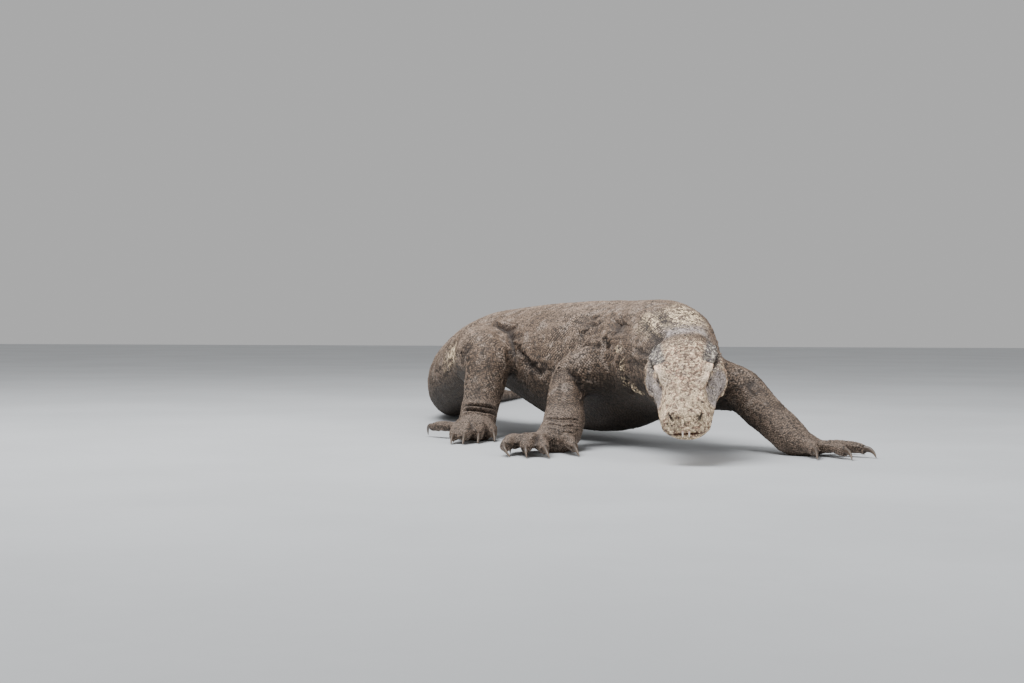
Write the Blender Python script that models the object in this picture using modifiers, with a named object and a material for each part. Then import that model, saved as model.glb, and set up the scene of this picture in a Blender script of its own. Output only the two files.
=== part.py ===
"""Komodo dragon, walking, as a still life-size model.

The body is lofted as one form, drawn together by a voxel remesh, thinned, and then parted with
thin cuts into the pieces that a person would name: head, neck, trunk, tail and legs. Eyes, teeth
and claws are bodies of their own, each seated in a socket that clears it by a thin gap.

Metres, +Z up. The animal faces -Y, it stands on z = 0, and its longest extent runs along Y. The
body is laid out from a working origin on the ground under the belly. At the end the empty that
carries every piece is moved, so that the origin is at the middle of the whole footprint.
"""

import math

import bmesh
import bpy
import numpy as np
from mathutils import Matrix, Vector

# ---------------------------------------------------------------- driving sizes

HEAD_LENGTH = 0.210  # snout tip to the back of the skull, along the mouth line
HEAD_WIDTH = 0.120  # across the cheeks
HEAD_PITCH = math.radians(29.0)  # how far the snout points down
HEAD_YAW = math.radians(5.7)  # the head is turned a little to its right
SNOUT_TIP = Vector((0.106, -0.735, 0.048))  # front end of the mouth line

TRUNK_WIDTH = 0.236  # widest part of the belly
TRUNK_DEPTH = 0.231  # back to belly, behind the shoulders
BACK_HEIGHT = 0.250  # top of the shoulders above the ground

EYE_RADIUS = 0.0085
EYE_ALONG = 0.101  # from the snout tip, along the mouth line
EYE_UP = 0.034  # above the mouth line
EYE_OUT = 0.0350  # from the middle of the head

TOOTH_RADIUS = 0.0013
TOOTH_LENGTH = 0.0085
TOOTH_OUT = 0.0048  # from the middle of the mouth
TOOTH_SIDES = 6
TOOTH_ALONG = 0.0015  # from the snout tip
TOOTH_TOP = 0.0045  # above the mouth line
MOUTH_OPENING = 0.0034  # between the lips, at the front
JAW_CORNER = 0.128  # from the snout tip back to the corner of the jaw

CLAW_RADIUS = 0.0044
CLAW_POINT = 0.0007  # radius at the claw's point
CLAW_SEAT = 0.007  # how deep a claw sits in its toe
CLAW_SIDES = 6
CLAW_RINGS = 5

GAP = 0.0003  # clearance between neighbouring bodies
VOXEL = 0.0042  # grain of the remesh that draws the body together
FLESH_TRIANGLES = 3500  # what the thinned body keeps, before it is parted
RING_SIDES = 28  # corners of one loft section
FINE_HEAD = 0.125  # reach of the finer mesh round the middle of the head
FINE_TOES = 0.030  # and round each toe
FINE_WEIGHT = 0.5
FINE_FACTOR = 0.001
SHARP_ANGLE = math.radians(40.0)

RIGHT = -1.0  # the animal's right side lies towards -X
LEFT = 1.0

# Colour (linear RGB), roughness and metallic value of each kind of surface.
LOOKS = {
    "body_hide": ((0.240, 0.200, 0.165), 0.80, 0.0),
    "head_hide": ((0.420, 0.355, 0.270), 0.75, 0.0),
    "claw_horn": ((0.075, 0.062, 0.052), 0.55, 0.0),
    "eye_surface": ((0.022, 0.017, 0.013), 0.10, 0.0),
    "tooth_enamel": ((0.640, 0.520, 0.450), 0.35, 0.0),
}

# Sections of neck, trunk and tail, from inside the skull to the tail tip: x, y, height of the
# back, height of the underside, and half width.
BACKBONE = [
    (0.121, -0.575, 0.186, 0.070, 0.055),
    (0.117, -0.505, 0.216, 0.074, 0.070),
    (0.110, -0.435, 0.239, 0.066, 0.083),
    (0.101, -0.375, 0.249, 0.059, 0.095),
    (0.084, -0.310, BACK_HEIGHT, 0.049, 0.097),
    (0.048, -0.225, BACK_HEIGHT, BACK_HEIGHT - TRUNK_DEPTH, 0.107),
    (-0.006, -0.130, 0.2485, 0.014, TRUNK_WIDTH / 2),
    (-0.064, -0.035, 0.2455, 0.042, 0.108),
    (-0.118, 0.050, 0.2380, 0.070, 0.090),
    (-0.166, 0.130, 0.2290, 0.090, 0.078),
    (-0.210, 0.215, 0.2080, 0.058, 0.075),
    (-0.250, 0.320, 0.1700, 0.026, 0.071),
    (-0.271, 0.430, 0.1310, 0.004, 0.059),
    (-0.274, 0.550, 0.1000, -0.0012, 0.046),
    (-0.263, 0.700, 0.0770, -0.0012, 0.036),
    (-0.237, 0.880, 0.0560, -0.0010, 0.0255),
    (-0.197, 1.070, 0.0395, -0.0008, 0.0168),
    (-0.150, 1.260, 0.0262, -0.0006, 0.0105),
    (-0.112, 1.420, 0.0152, -0.0004, 0.0062),
    (-0.090, 1.540, 0.0082, -0.0002, 0.0032),
]
SPINE = [(x, y, (top + low) / 2, half, (top - low) / 2) for x, y, top, low, half in BACKBONE]

# Places between the numbered sections of the backbone where it is parted.
SPINE_CUTS = (1.75, 5.4, 6.5, 10.6, 12.5, 14.3, 16.3)

# Cuts through the legs: centre, direction of the limb, half width and half height of the cut.
LIMB_CUTS = (
    ((-0.046, -0.314, 0.130), (-0.87, -0.49, 0.00), 0.080, 0.072),
    ((-0.060, -0.356, 0.080), (-0.05, -0.75, -0.66), 0.042, 0.045),
    ((-0.065, -0.416, 0.042), (-0.15, -0.80, -0.60), 0.048, 0.045),
    ((0.210, -0.354, 0.102), (0.93, -0.30, -0.15), 0.064, 0.062),
    ((0.250, -0.410, 0.080), (0.30, -0.80, -0.50), 0.048, 0.050),
    ((0.290, -0.492, 0.038), (0.50, -0.70, -0.45), 0.048, 0.048),
    ((-0.2075, 0.000, 0.140), (-0.914, -0.405, 0.00), 0.150, 0.090),
    ((-0.200, -0.130, 0.096), (-0.05, -0.30, -0.95), 0.052, 0.056),
    ((-0.209, -0.174, 0.044), (-0.10, -0.65, -0.75), 0.048, 0.048),
    ((-0.045, 0.213, 0.128), (0.75, 0.62, -0.10), 0.068, 0.068),
    ((0.018, 0.297, 0.098), (0.25, 0.80, -0.50), 0.050, 0.055),
    ((0.046, 0.396, 0.038), (0.50, 0.60, -0.55), 0.045, 0.045),
)

# ---------------------------------------------------------------- small helpers


def clear_scene():
    for obj in list(bpy.data.objects):
        bpy.data.objects.remove(obj, do_unlink=True)


def new_collection(name):
    made = bpy.data.collections.new(name)
    bpy.context.scene.collection.children.link(made)
    return made


def new_object(name, bm, home):
    """Turns a bmesh into an object in the given collection."""
    bmesh.ops.recalc_face_normals(bm, faces=bm.faces)
    if bm.calc_volume(signed=True) < 0:
        bmesh.ops.reverse_faces(bm, faces=bm.faces)
    mesh = bpy.data.meshes.new(name)
    bm.to_mesh(mesh)
    bm.free()
    obj = bpy.data.objects.new(name, mesh)
    home.objects.link(obj)
    return obj


def evaluated_mesh(obj):
    """The mesh of an object with its modifiers worked out."""
    graph = bpy.context.evaluated_depsgraph_get()
    graph.update()
    return bpy.data.meshes.new_from_object(obj.evaluated_get(graph))


def bake_modifiers(obj):
    mesh = evaluated_mesh(obj)
    obj.modifiers.clear()
    obj.data = mesh
    return obj


def subtract(obj, cutter):
    cut = obj.modifiers.new("cut", "BOOLEAN")
    cut.operation = "DIFFERENCE"
    cut.solver = "EXACT"
    cut.object = cutter
    cut.use_self = False
    return bake_modifiers(obj)


def as_cutter(obj):
    obj.hide_render = True
    obj.display_type = "WIRE"
    return obj


def catmull(rows, steps):
    """A smooth run through rows of numbers, with steps points on each span."""
    rows = np.array(rows, dtype=float)
    padded = np.vstack([2 * rows[0] - rows[1], rows, 2 * rows[-1] - rows[-2]])
    out = []
    for i in range(1, len(padded) - 2):
        a, b, c, d = padded[i - 1 : i + 3]
        for k in range(steps):
            t = k / steps
            out.append(
                0.5
                * (
                    2 * b
                    + (c - a) * t
                    + (2 * a - 5 * b + 4 * c - d) * t * t
                    + (3 * b - a - 3 * c + d) * t ** 3
                )
            )
    out.append(rows[-1])
    return np.array(out)


def section(half_width, half_height, squareness=1.0, taper=0.0):
    """One closed section as (across, up) pairs, from an ellipse to a rounded box.

    Squareness below 1 fills the corners, and taper draws in the upper half.
    """
    pairs = []
    for k in range(RING_SIDES):
        angle = 2 * math.pi * k / RING_SIDES
        c, s = math.cos(angle), math.sin(angle)
        across = math.copysign(abs(c) ** squareness, c) * half_width
        up = math.copysign(abs(s) ** squareness, s) * half_height
        across *= 1.0 - taper * max(0.0, s)
        pairs.append((across, up))
    return pairs


def skin_rings(bm, rings):
    """Joins rings of points into a closed tube with a fan at each end."""
    made = [[bm.verts.new(p) for p in ring] for ring in rings]
    count = len(made[0])
    for a, b in zip(made, made[1:]):
        for k in range(count):
            bm.faces.new((a[k], a[(k + 1) % count], b[(k + 1) % count], b[k]))
    for ring in (made[0], made[-1]):
        middle = bm.verts.new(sum((v.co for v in ring), Vector()) / count)
        for k in range(count):
            bm.faces.new((ring[k], ring[(k + 1) % count], middle))


def tube(name, rows, home, steps=6, up=Vector((0, 0, 1)), squareness=1.0):
    """Lofts a limb or body through rows of (x, y, z, half width, half height), with round ends."""
    run = catmull(rows, steps)
    centres = [Vector(r[:3]) for r in run]
    rings = []
    for i, row in enumerate(run):
        ahead = centres[min(i + 1, len(run) - 1)] - centres[max(i - 1, 0)]
        ahead.normalize()
        across = ahead.cross(up).normalized()
        lift = across.cross(ahead).normalized()
        rings.append((centres[i], ahead, across, lift, max(row[3], 0.001), max(row[4], 0.001)))

    def ring(frame, shrink, shift):
        centre, ahead, across, lift, w, h = frame
        middle = centre + ahead * shift
        return [
            middle + across * (x * shrink) + lift * (y * shrink)
            for x, y in section(w, h, squareness)
        ]

    dome = (0.35, 0.65, 0.88)
    points = []
    first, last = rings[0], rings[-1]
    for f in dome:
        reach = min(first[4], first[5]) * 0.7
        points.append(ring(first, f, -reach * math.sqrt(1 - f * f)))
    points += [ring(frame, 1.0, 0.0) for frame in rings]
    for f in reversed(dome):
        reach = min(last[4], last[5]) * 0.7
        points.append(ring(last, f, reach * math.sqrt(1 - f * f)))
    bm = bmesh.new()
    skin_rings(bm, points)
    return new_object(name, bm, home)


def lump(name, centre, radii, home, ahead=Vector((0, 1, 0)), up=Vector((0, 0, 1))):
    """An ellipsoid: radii are along the muscle, across it and through it."""
    ahead = Vector(ahead).normalized()
    across = ahead.cross(up).normalized()
    lift = across.cross(ahead).normalized()
    bm = bmesh.new()
    bmesh.ops.create_uvsphere(bm, u_segments=20, v_segments=12, radius=1.0)
    turn = Matrix((ahead * radii[0], across * radii[1], lift * radii[2])).transposed()
    bm.transform(Matrix.Translation(Vector(centre)) @ turn.to_4x4())
    return new_object(name, bm, home)


# ---------------------------------------------------------------- head frame


def head_axes():
    """Unit vectors of the head: back along the mouth line, to its left, and up from the mouth."""
    back = Vector(
        (
            math.sin(HEAD_YAW) * math.cos(HEAD_PITCH),
            math.cos(HEAD_YAW) * math.cos(HEAD_PITCH),
            math.sin(HEAD_PITCH),
        )
    )
    left = Vector((math.cos(HEAD_YAW), -math.sin(HEAD_YAW), 0.0))
    return back, left, left.cross(back)


def head_point(along, out, up):
    back, left, lift = head_axes()
    return SNOUT_TIP + back * along + left * out + lift * up


# ---------------------------------------------------------------- flesh


def build_head(home):
    """Skull and jaws as a loft of rounded boxes, with brows, temples and cheeks laid on."""
    half = HEAD_WIDTH / 2
    #        along, half width, top, bottom, squareness, taper
    stations = [
        (0.000, 0.30 * half, 0.0100, -0.0120, 1.00, 0.10),
        (0.004, 0.46 * half, 0.0180, -0.0170, 0.95, 0.14),
        (0.013, 0.59 * half, 0.0270, -0.0205, 0.88, 0.20),
        (0.030, 0.665 * half, 0.0325, -0.0230, 0.82, 0.26),
        (0.060, 0.72 * half, 0.0365, -0.0255, 0.80, 0.30),
        (0.090, 0.79 * half, 0.0415, -0.0285, 0.82, 0.30),
        (0.120, 0.89 * half, 0.0490, -0.0335, 0.86, 0.26),
        (0.150, 0.97 * half, 0.0550, -0.0390, 0.90, 0.20),
        (0.180, 0.98 * half, 0.0570, -0.0430, 0.94, 0.14),
        (0.210, 0.93 * half, 0.0530, -0.0450, 1.00, 0.08),
        (0.240, 0.80 * half, 0.0420, -0.0440, 1.00, 0.00),
    ]
    rings = []
    for along, width, top, bottom, square, taper in catmull(stations, 3):
        middle, height = (top + bottom) / 2, (top - bottom) / 2
        rings.append(
            [head_point(along, x, middle + y) for x, y in section(width, height, square, taper)]
        )
    bm = bmesh.new()
    skin_rings(bm, rings)
    made = [new_object("skull", bm, home)]
    back, left, lift = head_axes()
    for side in (RIGHT, LEFT):
        made += [
            lump(
                "brow",
                head_point(0.106, side * 0.0350, 0.0390),
                (0.028, 0.0095, 0.0075),
                home,
                back + left * side * 0.24,
                lift,
            ),
            lump(
                "cheek",
                head_point(0.152, side * 0.042, 0.000),
                (0.042, 0.020, 0.034),
                home,
                back,
                lift,
            ),
            lump(
                "nostril_rim",
                head_point(0.019, side * 0.0205, 0.0225),
                (0.011, 0.0085, 0.0075),
                home,
                back,
                lift,
            ),
        ]
    return made


def build_spine(home):
    """Neck, trunk and tail in one loft, from inside the skull to the tail tip."""
    return [tube("spine", SPINE, home)]


def build_legs(home):
    """Upper and lower leg, then the foot up to the roots of the toes."""
    made = []
    # the right fore leg is drawn back under the shoulder, the left one reaches out and forward
    made.append(
        tube(
            "fore_right",
            [
                (0.055, -0.350, 0.138, 0.047, 0.048),
                (0.008, -0.335, 0.132, 0.044, 0.046),
                (-0.034, -0.312, 0.122, 0.036, 0.040),
                (-0.054, -0.318, 0.104, 0.031, 0.035),
                (-0.060, -0.360, 0.077, 0.032, 0.030),
                (-0.063, -0.408, 0.047, 0.035, 0.026),
                (-0.073, -0.450, 0.024, 0.037, 0.0245),
                (-0.086, -0.486, 0.016, 0.036, 0.0200),
            ],
            home,
        )
    )
    made.append(
        tube(
            "fore_left",
            [
                (0.140, -0.335, 0.125, 0.046, 0.048),
                (0.195, -0.350, 0.106, 0.042, 0.046),
                (0.232, -0.372, 0.098, 0.036, 0.039),
                (0.247, -0.402, 0.084, 0.034, 0.036),
                (0.260, -0.442, 0.066, 0.033, 0.033),
                (0.281, -0.480, 0.045, 0.031, 0.030),
                (0.300, -0.514, 0.024, 0.032, 0.0255),
                (0.328, -0.530, 0.013, 0.031, 0.0165),
            ],
            home,
        )
    )
    made.append(
        tube(
            "hind_right",
            [
                (-0.185, 0.100, 0.142, 0.062, 0.064),
                (-0.208, 0.020, 0.142, 0.056, 0.062),
                (-0.204, -0.060, 0.146, 0.047, 0.052),
                (-0.194, -0.104, 0.132, 0.042, 0.044),
                (-0.198, -0.130, 0.096, 0.038, 0.038),
                (-0.206, -0.158, 0.060, 0.034, 0.032),
                (-0.212, -0.190, 0.026, 0.034, 0.0280),
                (-0.215, -0.225, 0.018, 0.035, 0.0215),
            ],
            home,
        )
    )
    made.append(
        tube(
            "hind_left",
            [
                (-0.140, 0.135, 0.138, 0.060, 0.062),
                (-0.080, 0.185, 0.132, 0.054, 0.058),
                (-0.020, 0.235, 0.122, 0.045, 0.048),
                (0.012, 0.275, 0.106, 0.040, 0.042),
                (0.026, 0.330, 0.080, 0.037, 0.036),
                (0.036, 0.380, 0.052, 0.033, 0.031),
                (0.056, 0.408, 0.025, 0.033, 0.0275),
                (0.088, 0.415, 0.017, 0.034, 0.0205),
            ],
            home,
        )
    )
    return made


# Each digit: root, knuckle, tip, radius at the root, and the claw's point on the ground.
# The first digit is the innermost one.
DIGITS = {
    "fore_right": [
        ((-0.066, -0.478, 0.022), (-0.060, -0.515, 0.023), (-0.052, -0.552, 0.0125), 0.0100,
         (-0.0446, -0.580, 0.0012)),
        ((-0.100, -0.482, 0.021), (-0.105, -0.543, 0.024), (-0.099, -0.591, 0.0125), 0.0102,
         (-0.0915, -0.620, 0.0012)),
        ((-0.112, -0.480, 0.020), (-0.126, -0.543, 0.024), (-0.128, -0.590, 0.0135), 0.0108,
         (-0.1265, -0.617, 0.0012)),
        ((-0.114, -0.470, 0.019), (-0.149, -0.525, 0.022), (-0.160, -0.570, 0.0145), 0.0106,
         (-0.1520, -0.600, 0.0012)),
        ((-0.106, -0.455, 0.017), (-0.134, -0.472, 0.018), (-0.147, -0.498, 0.0115), 0.0088,
         (-0.1520, -0.524, 0.0012)),
    ],
    "fore_left": [
        ((0.310, -0.526, 0.018), (0.317, -0.560, 0.018), (0.319, -0.596, 0.0115), 0.0096,
         (0.3180, -0.628, 0.0012)),
        ((0.332, -0.532, 0.014), (0.353, -0.566, 0.0155), (0.366, -0.602, 0.0110), 0.0096,
         (0.3710, -0.630, 0.0012)),
        ((0.340, -0.526, 0.013), (0.384, -0.548, 0.0150), (0.403, -0.568, 0.0120), 0.0094,
         (0.4160, -0.592, 0.0012)),
        ((0.338, -0.514, 0.013), (0.372, -0.502, 0.0140), (0.394, -0.504, 0.0115), 0.0090,
         (0.4120, -0.520, 0.0012)),
        ((0.318, -0.502, 0.014), (0.340, -0.472, 0.0140), (0.350, -0.444, 0.0110), 0.0086,
         (0.3570, -0.421, 0.0012)),
    ],
    "hind_right": [
        ((-0.196, -0.200, 0.022), (-0.187, -0.222, 0.024), (-0.182, -0.246, 0.0120), 0.0096,
         (-0.1800, -0.268, 0.0012)),
        ((-0.208, -0.215, 0.022), (-0.206, -0.250, 0.026), (-0.207, -0.287, 0.0125), 0.0102,
         (-0.2080, -0.312, 0.0012)),
        ((-0.220, -0.222, 0.022), (-0.225, -0.270, 0.027), (-0.230, -0.316, 0.0125), 0.0106,
         (-0.2330, -0.343, 0.0012)),
        ((-0.230, -0.215, 0.021), (-0.242, -0.262, 0.025), (-0.250, -0.306, 0.0120), 0.0102,
         (-0.2530, -0.333, 0.0012)),
        ((-0.228, -0.195, 0.021), (-0.268, -0.172, 0.021), (-0.294, -0.140, 0.0180), 0.0088,
         (-0.3020, -0.116, 0.0020)),
    ],
    "hind_left": [
        ((0.080, 0.395, 0.019), (0.104, 0.378, 0.021), (0.127, 0.366, 0.0115), 0.0094,
         (0.1510, 0.360, 0.0012)),
        ((0.092, 0.402, 0.019), (0.126, 0.394, 0.023), (0.157, 0.390, 0.0115), 0.0100,
         (0.1820, 0.388, 0.0012)),
        ((0.094, 0.414, 0.019), (0.134, 0.416, 0.024), (0.170, 0.418, 0.0120), 0.0104,
         (0.1960, 0.422, 0.0012)),
        ((0.090, 0.424, 0.019), (0.128, 0.440, 0.024), (0.164, 0.455, 0.0120), 0.0102,
         (0.1880, 0.468, 0.0012)),
        ((0.070, 0.424, 0.018), (0.094, 0.452, 0.020), (0.114, 0.478, 0.0110), 0.0088,
         (0.1280, 0.500, 0.0012)),
    ],
}


def build_digits(home):
    """Each toe is a tapering tube with a swelling at the knuckle and at the tip."""
    made = []
    for foot, digits in DIGITS.items():
        for number, (root, knuckle, tip, radius, _) in enumerate(digits, 1):
            root, knuckle, tip = Vector(root), Vector(knuckle), Vector(tip)
            waist = (root + knuckle) / 2
            rows = [
                (*root, 1.30 * radius, 1.10 * radius),
                (*waist, 1.10 * radius, 1.02 * radius),
                (*knuckle, 1.18 * radius, 1.08 * radius),
                (*((knuckle + tip) / 2 + Vector((0, 0, 0.002))), 1.00 * radius, 0.94 * radius),
                (*tip, 0.96 * radius, 0.92 * radius),
            ]
            made.append(tube(f"digit_{foot}_{number}", rows, home, steps=4))
    return made


def build_muscles(home):
    """Swellings of the shoulders, haunches, calves and throat."""
    return [
        lump("shoulder_right", (0.012, -0.338, 0.130), (0.062, 0.042, 0.045), home, (-0.9, 0.3, -0.1)),
        lump("upper_arm_right", (-0.018, -0.330, 0.127), (0.050, 0.040, 0.043), home, (-0.9, 0.3, -0.1)),
        lump("shoulder_left", (0.176, -0.338, 0.112), (0.054, 0.042, 0.047), home, (0.95, -0.2, -0.1)),
        lump("haunch_right", (-0.215, 0.040, 0.142), (0.092, 0.048, 0.058), home, (0.1, -1.0, 0.1)),
        lump("haunch_left", (-0.090, 0.170, 0.138), (0.085, 0.046, 0.056), home, (1.0, 0.7, -0.1)),
        lump("calf_right", (-0.203, -0.118, 0.095), (0.055, 0.036, 0.036), home, (-0.1, -0.4, -1.0)),
        lump("calf_left", (0.022, 0.320, 0.088), (0.060, 0.036, 0.038), home, (0.2, 1.0, -0.5)),
        lump("throat", (0.112, -0.490, 0.108), (0.075, 0.052, 0.042), home, (0, 1.0, 0.25)),
        lump("hump", (0.104, -0.350, 0.160), (0.095, 0.097, 0.090), home, (0, 1.0, 0.0)),
        lump("collar_right", (0.054, -0.408, 0.138), (0.055, 0.036, 0.048), home, (0.1, 1.0, 0)),
        lump("collar_left", (0.158, -0.400, 0.132), (0.050, 0.034, 0.046), home, (-0.1, 1.0, 0)),
    ]


def draw_together(pieces):
    """Joins the lofts into one closed skin and thins it, keeping head and feet the finest."""
    bm = bmesh.new()
    for piece in pieces:
        bm.from_mesh(piece.data)
    mesh = bpy.data.meshes.new("flesh")
    bm.to_mesh(mesh)
    bm.free()
    home = pieces[0].users_collection[0]
    for piece in pieces:
        bpy.data.objects.remove(piece, do_unlink=True)
    flesh = bpy.data.objects.new("flesh", mesh)
    home.objects.link(flesh)

    remesh = flesh.modifiers.new("draw_together", "REMESH")
    remesh.mode = "VOXEL"
    remesh.voxel_size = VOXEL
    remesh.adaptivity = 0.0
    smooth = flesh.modifiers.new("soften", "SMOOTH")
    smooth.factor = 0.5
    smooth.iterations = 8
    bake_modifiers(flesh)

    coarse = flesh.vertex_groups.new(name="coarse")
    centres = [head_point(0.09, 0, 0)]
    centres += [(Vector(toe[1]) + Vector(toe[2])) / 2 for toes in DIGITS.values() for toe in toes]
    reaches = [FINE_HEAD] + [FINE_TOES] * (len(centres) - 1)
    for vertex in flesh.data.vertices:
        near = any((vertex.co - c).length < r for c, r in zip(centres, reaches))
        coarse.add([vertex.index], FINE_WEIGHT if near else 1.0, "REPLACE")
    count = sum(len(p.vertices) - 2 for p in flesh.data.polygons)
    thin = flesh.modifiers.new("thin", "DECIMATE")
    thin.vertex_group = "coarse"
    thin.vertex_group_factor = FINE_FACTOR
    thin.decimate_type = "COLLAPSE"
    thin.ratio = FLESH_TRIANGLES / count
    thin.use_collapse_triangulate = True
    return bake_modifiers(flesh)


def claw_run(digit, grow=0.0):
    """Rings of a claw that leaves the toe tip and curves down to its point on the ground."""
    root, knuckle, tip, _, point = digit
    tip, point = Vector(tip), Vector(point)
    ahead = (tip - Vector(knuckle)).normalized()
    start = tip - ahead * (CLAW_SEAT + grow)
    bend = tip + ahead * (point - tip).length * 0.55 + Vector((0, 0, 0.0035))
    rings = []
    for k in range(CLAW_RINGS):
        t = k / (CLAW_RINGS - 1)
        centre = start * (1 - t) ** 2 + bend * 2 * t * (1 - t) + point * t * t
        along = (bend - start) * (1 - t) + (point - bend) * t
        along.normalize()
        across = along.cross(Vector((0, 0, 1))).normalized()
        lift = across.cross(along).normalized()
        radius = CLAW_RADIUS * (1 - t) ** 0.75 + CLAW_POINT * t ** 2 + grow
        rings.append(
            [
                centre
                + across * (0.86 * radius * math.cos(2 * math.pi * n / CLAW_SIDES))
                + lift * (1.10 * radius * math.sin(2 * math.pi * n / CLAW_SIDES))
                for n in range(CLAW_SIDES)
            ]
        )
    return rings


def build_claws(home, grow=0.0):
    made = []
    for foot, digits in DIGITS.items():
        for number, digit in enumerate(digits, 1):
            bm = bmesh.new()
            skin_rings(bm, claw_run(digit, grow))
            made.append(new_object(f"claw_{foot}_{number}", bm, home))
    return made


def build_eyes(home, grow=0.0):
    back, left, lift = head_axes()
    made = []
    for side, name in ((RIGHT, "eye_right"), (LEFT, "eye_left")):
        bm = bmesh.new()
        bmesh.ops.create_uvsphere(bm, u_segments=12, v_segments=7, radius=EYE_RADIUS + grow)
        eye = new_object(name, bm, home)
        eye.location = head_point(EYE_ALONG, side * EYE_OUT, EYE_UP)
        eye.rotation_euler = Matrix((back, lift, left)).transposed().to_euler()
        made.append(eye)
    return made


def build_teeth(home, grow=0.0):
    """Two slim teeth that hang from the front of the upper jaw over the lower lip."""
    made = []
    for side, name in ((RIGHT, "tooth_right"), (LEFT, "tooth_left")):
        rings = []
        for k in range(5):
            t = k / 4
            radius = TOOTH_RADIUS * (1 - 0.72 * t * t) + grow
            up = TOOTH_TOP - TOOTH_LENGTH * t + (grow if k == 0 else 0.0) - (grow if k == 4 else 0.0)
            along = TOOTH_ALONG + 0.0016 * t * t
            rings.append(
                [
                    head_point(
                        along + radius * math.cos(2 * math.pi * n / TOOTH_SIDES),
                        side * TOOTH_OUT + radius * math.sin(2 * math.pi * n / TOOTH_SIDES),
                        up,
                    )
                    for n in range(TOOTH_SIDES)
                ]
            )
        bm = bmesh.new()
        skin_rings(bm, rings)
        made.append(new_object(name, bm, home))
    return made


def joined(name, pieces, home):
    """One object from several, which are removed."""
    bm = bmesh.new()
    for piece in pieces:
        piece.data.transform(piece.matrix_basis)
        bm.from_mesh(piece.data)
        bpy.data.objects.remove(piece, do_unlink=True)
    mesh = bpy.data.meshes.new(name)
    bm.to_mesh(mesh)
    bm.free()
    obj = bpy.data.objects.new(name, mesh)
    home.objects.link(obj)
    return as_cutter(obj)


def slab(centre, normal, across, lift, home):
    """A thin oval plate square to a limb, which parts it."""
    normal = Vector(normal).normalized()
    side = normal.cross(Vector((0, 0, 1))).normalized()
    rise = side.cross(normal).normalized()
    bm = bmesh.new()
    bmesh.ops.create_cone(
        bm, cap_ends=True, segments=24, radius1=1.0, radius2=1.0, depth=GAP
    )
    turn = Matrix((side * across, rise * lift, normal)).transposed().to_4x4()
    bm.transform(Matrix.Translation(Vector(centre)) @ turn)
    return new_object("slab", bm, home)


def spine_slab(station, home, margin=0.018):
    """A slab square to the backbone, at a place between two numbered sections."""
    run = catmull(SPINE, 20)
    k = int(round(station * 20))
    row = run[k]
    ahead = Vector(run[min(k + 1, len(run) - 1)][:3]) - Vector(run[k - 1][:3])
    return slab(row[:3], ahead, row[3] + margin, row[4] + margin, home)


def build_slabs(home):
    made = [spine_slab(station, home) for station in SPINE_CUTS]
    made += [slab(*cut, home) for cut in LIMB_CUTS]
    back = head_axes()[0]
    made.append(slab(head_point(HEAD_LENGTH - 0.004, 0, -0.012), back, 0.085, 0.100, home))
    return [as_cutter(piece) for piece in made]


def build_mouth_cutter(home):
    """A wedge that opens the lips at the front, and a plate behind it that frees the lower jaw."""
    side = HEAD_WIDTH
    bm = bmesh.new()
    thin = GAP / 2
    outline = [
        (-0.02, MOUTH_OPENING / 2),
        (0.035, MOUTH_OPENING / 3),
        (JAW_CORNER + thin, thin),
        (JAW_CORNER + thin, -0.12),
        (JAW_CORNER - thin, -0.12),
        (JAW_CORNER - thin, -thin),
        (0.035, -MOUTH_OPENING / 3),
        (-0.02, -MOUTH_OPENING / 2),
    ]
    near = [bm.verts.new(head_point(a, -side, u)) for a, u in outline]
    far = [bm.verts.new(head_point(a, side, u)) for a, u in outline]
    bm.faces.new(near)
    bm.faces.new(list(reversed(far)))
    count = len(outline)
    for k in range(count):
        bm.faces.new((near[k], far[k], far[(k + 1) % count], near[(k + 1) % count]))
    bmesh.ops.triangulate(bm, faces=bm.faces)
    return as_cutter(new_object("mouth", bm, home))


def ground_cutter(home):
    bm = bmesh.new()
    bmesh.ops.create_cube(bm, size=1.0)
    bm.transform(Matrix.Diagonal((4.0, 5.0, 0.1, 1.0)))
    bm.transform(Matrix.Translation((0, 0.4, -0.05)))
    return as_cutter(new_object("ground", bm, home))


def loose_parts(obj):
    """Splits a mesh into its separate bodies, as lists of vertex indices."""
    mesh = obj.data
    parent = list(range(len(mesh.vertices)))

    def root(i):
        while parent[i] != i:
            parent[i] = parent[parent[i]]
            i = parent[i]
        return i

    for edge in mesh.edges:
        a, b = root(edge.vertices[0]), root(edge.vertices[1])
        if a != b:
            parent[b] = a
    groups = {}
    for i in range(len(mesh.vertices)):
        groups.setdefault(root(i), []).append(i)
    return list(groups.values())


# A point inside each piece of the parted flesh, and its colour.
FLESH_PIECES = {
    "head": (0.120, -0.630, 0.120),
    "lower_jaw": (0.108, -0.690, 0.060),
    "neck": (0.113, -0.505, 0.140),
    "chest": (0.080, -0.320, 0.140),
    "belly": (-0.010, -0.110, 0.130),
    "hips": (-0.140, 0.110, 0.150),
    "tail_1": (-0.262, 0.370, 0.080),
    "tail_2": (-0.268, 0.620, 0.045),
    "tail_3": (-0.230, 0.920, 0.027),
    "tail_4": (-0.140, 1.310, 0.013),
    "upper_arm_right": (-0.035, -0.330, 0.125),
    "forearm_right": (-0.060, -0.370, 0.070),
    "hand_right": (-0.100, -0.500, 0.020),
    "upper_arm_left": (0.225, -0.370, 0.100),
    "forearm_left": (0.270, -0.460, 0.055),
    "hand_left": (0.340, -0.520, 0.020),
    "thigh_right": (-0.220, -0.010, 0.140),
    "shank_right": (-0.202, -0.145, 0.085),
    "foot_right": (-0.218, -0.230, 0.025),
    "thigh_left": (-0.015, 0.245, 0.120),
    "shank_left": (0.030, 0.345, 0.070),
    "foot_left": (0.100, 0.410, 0.020),
}


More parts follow.
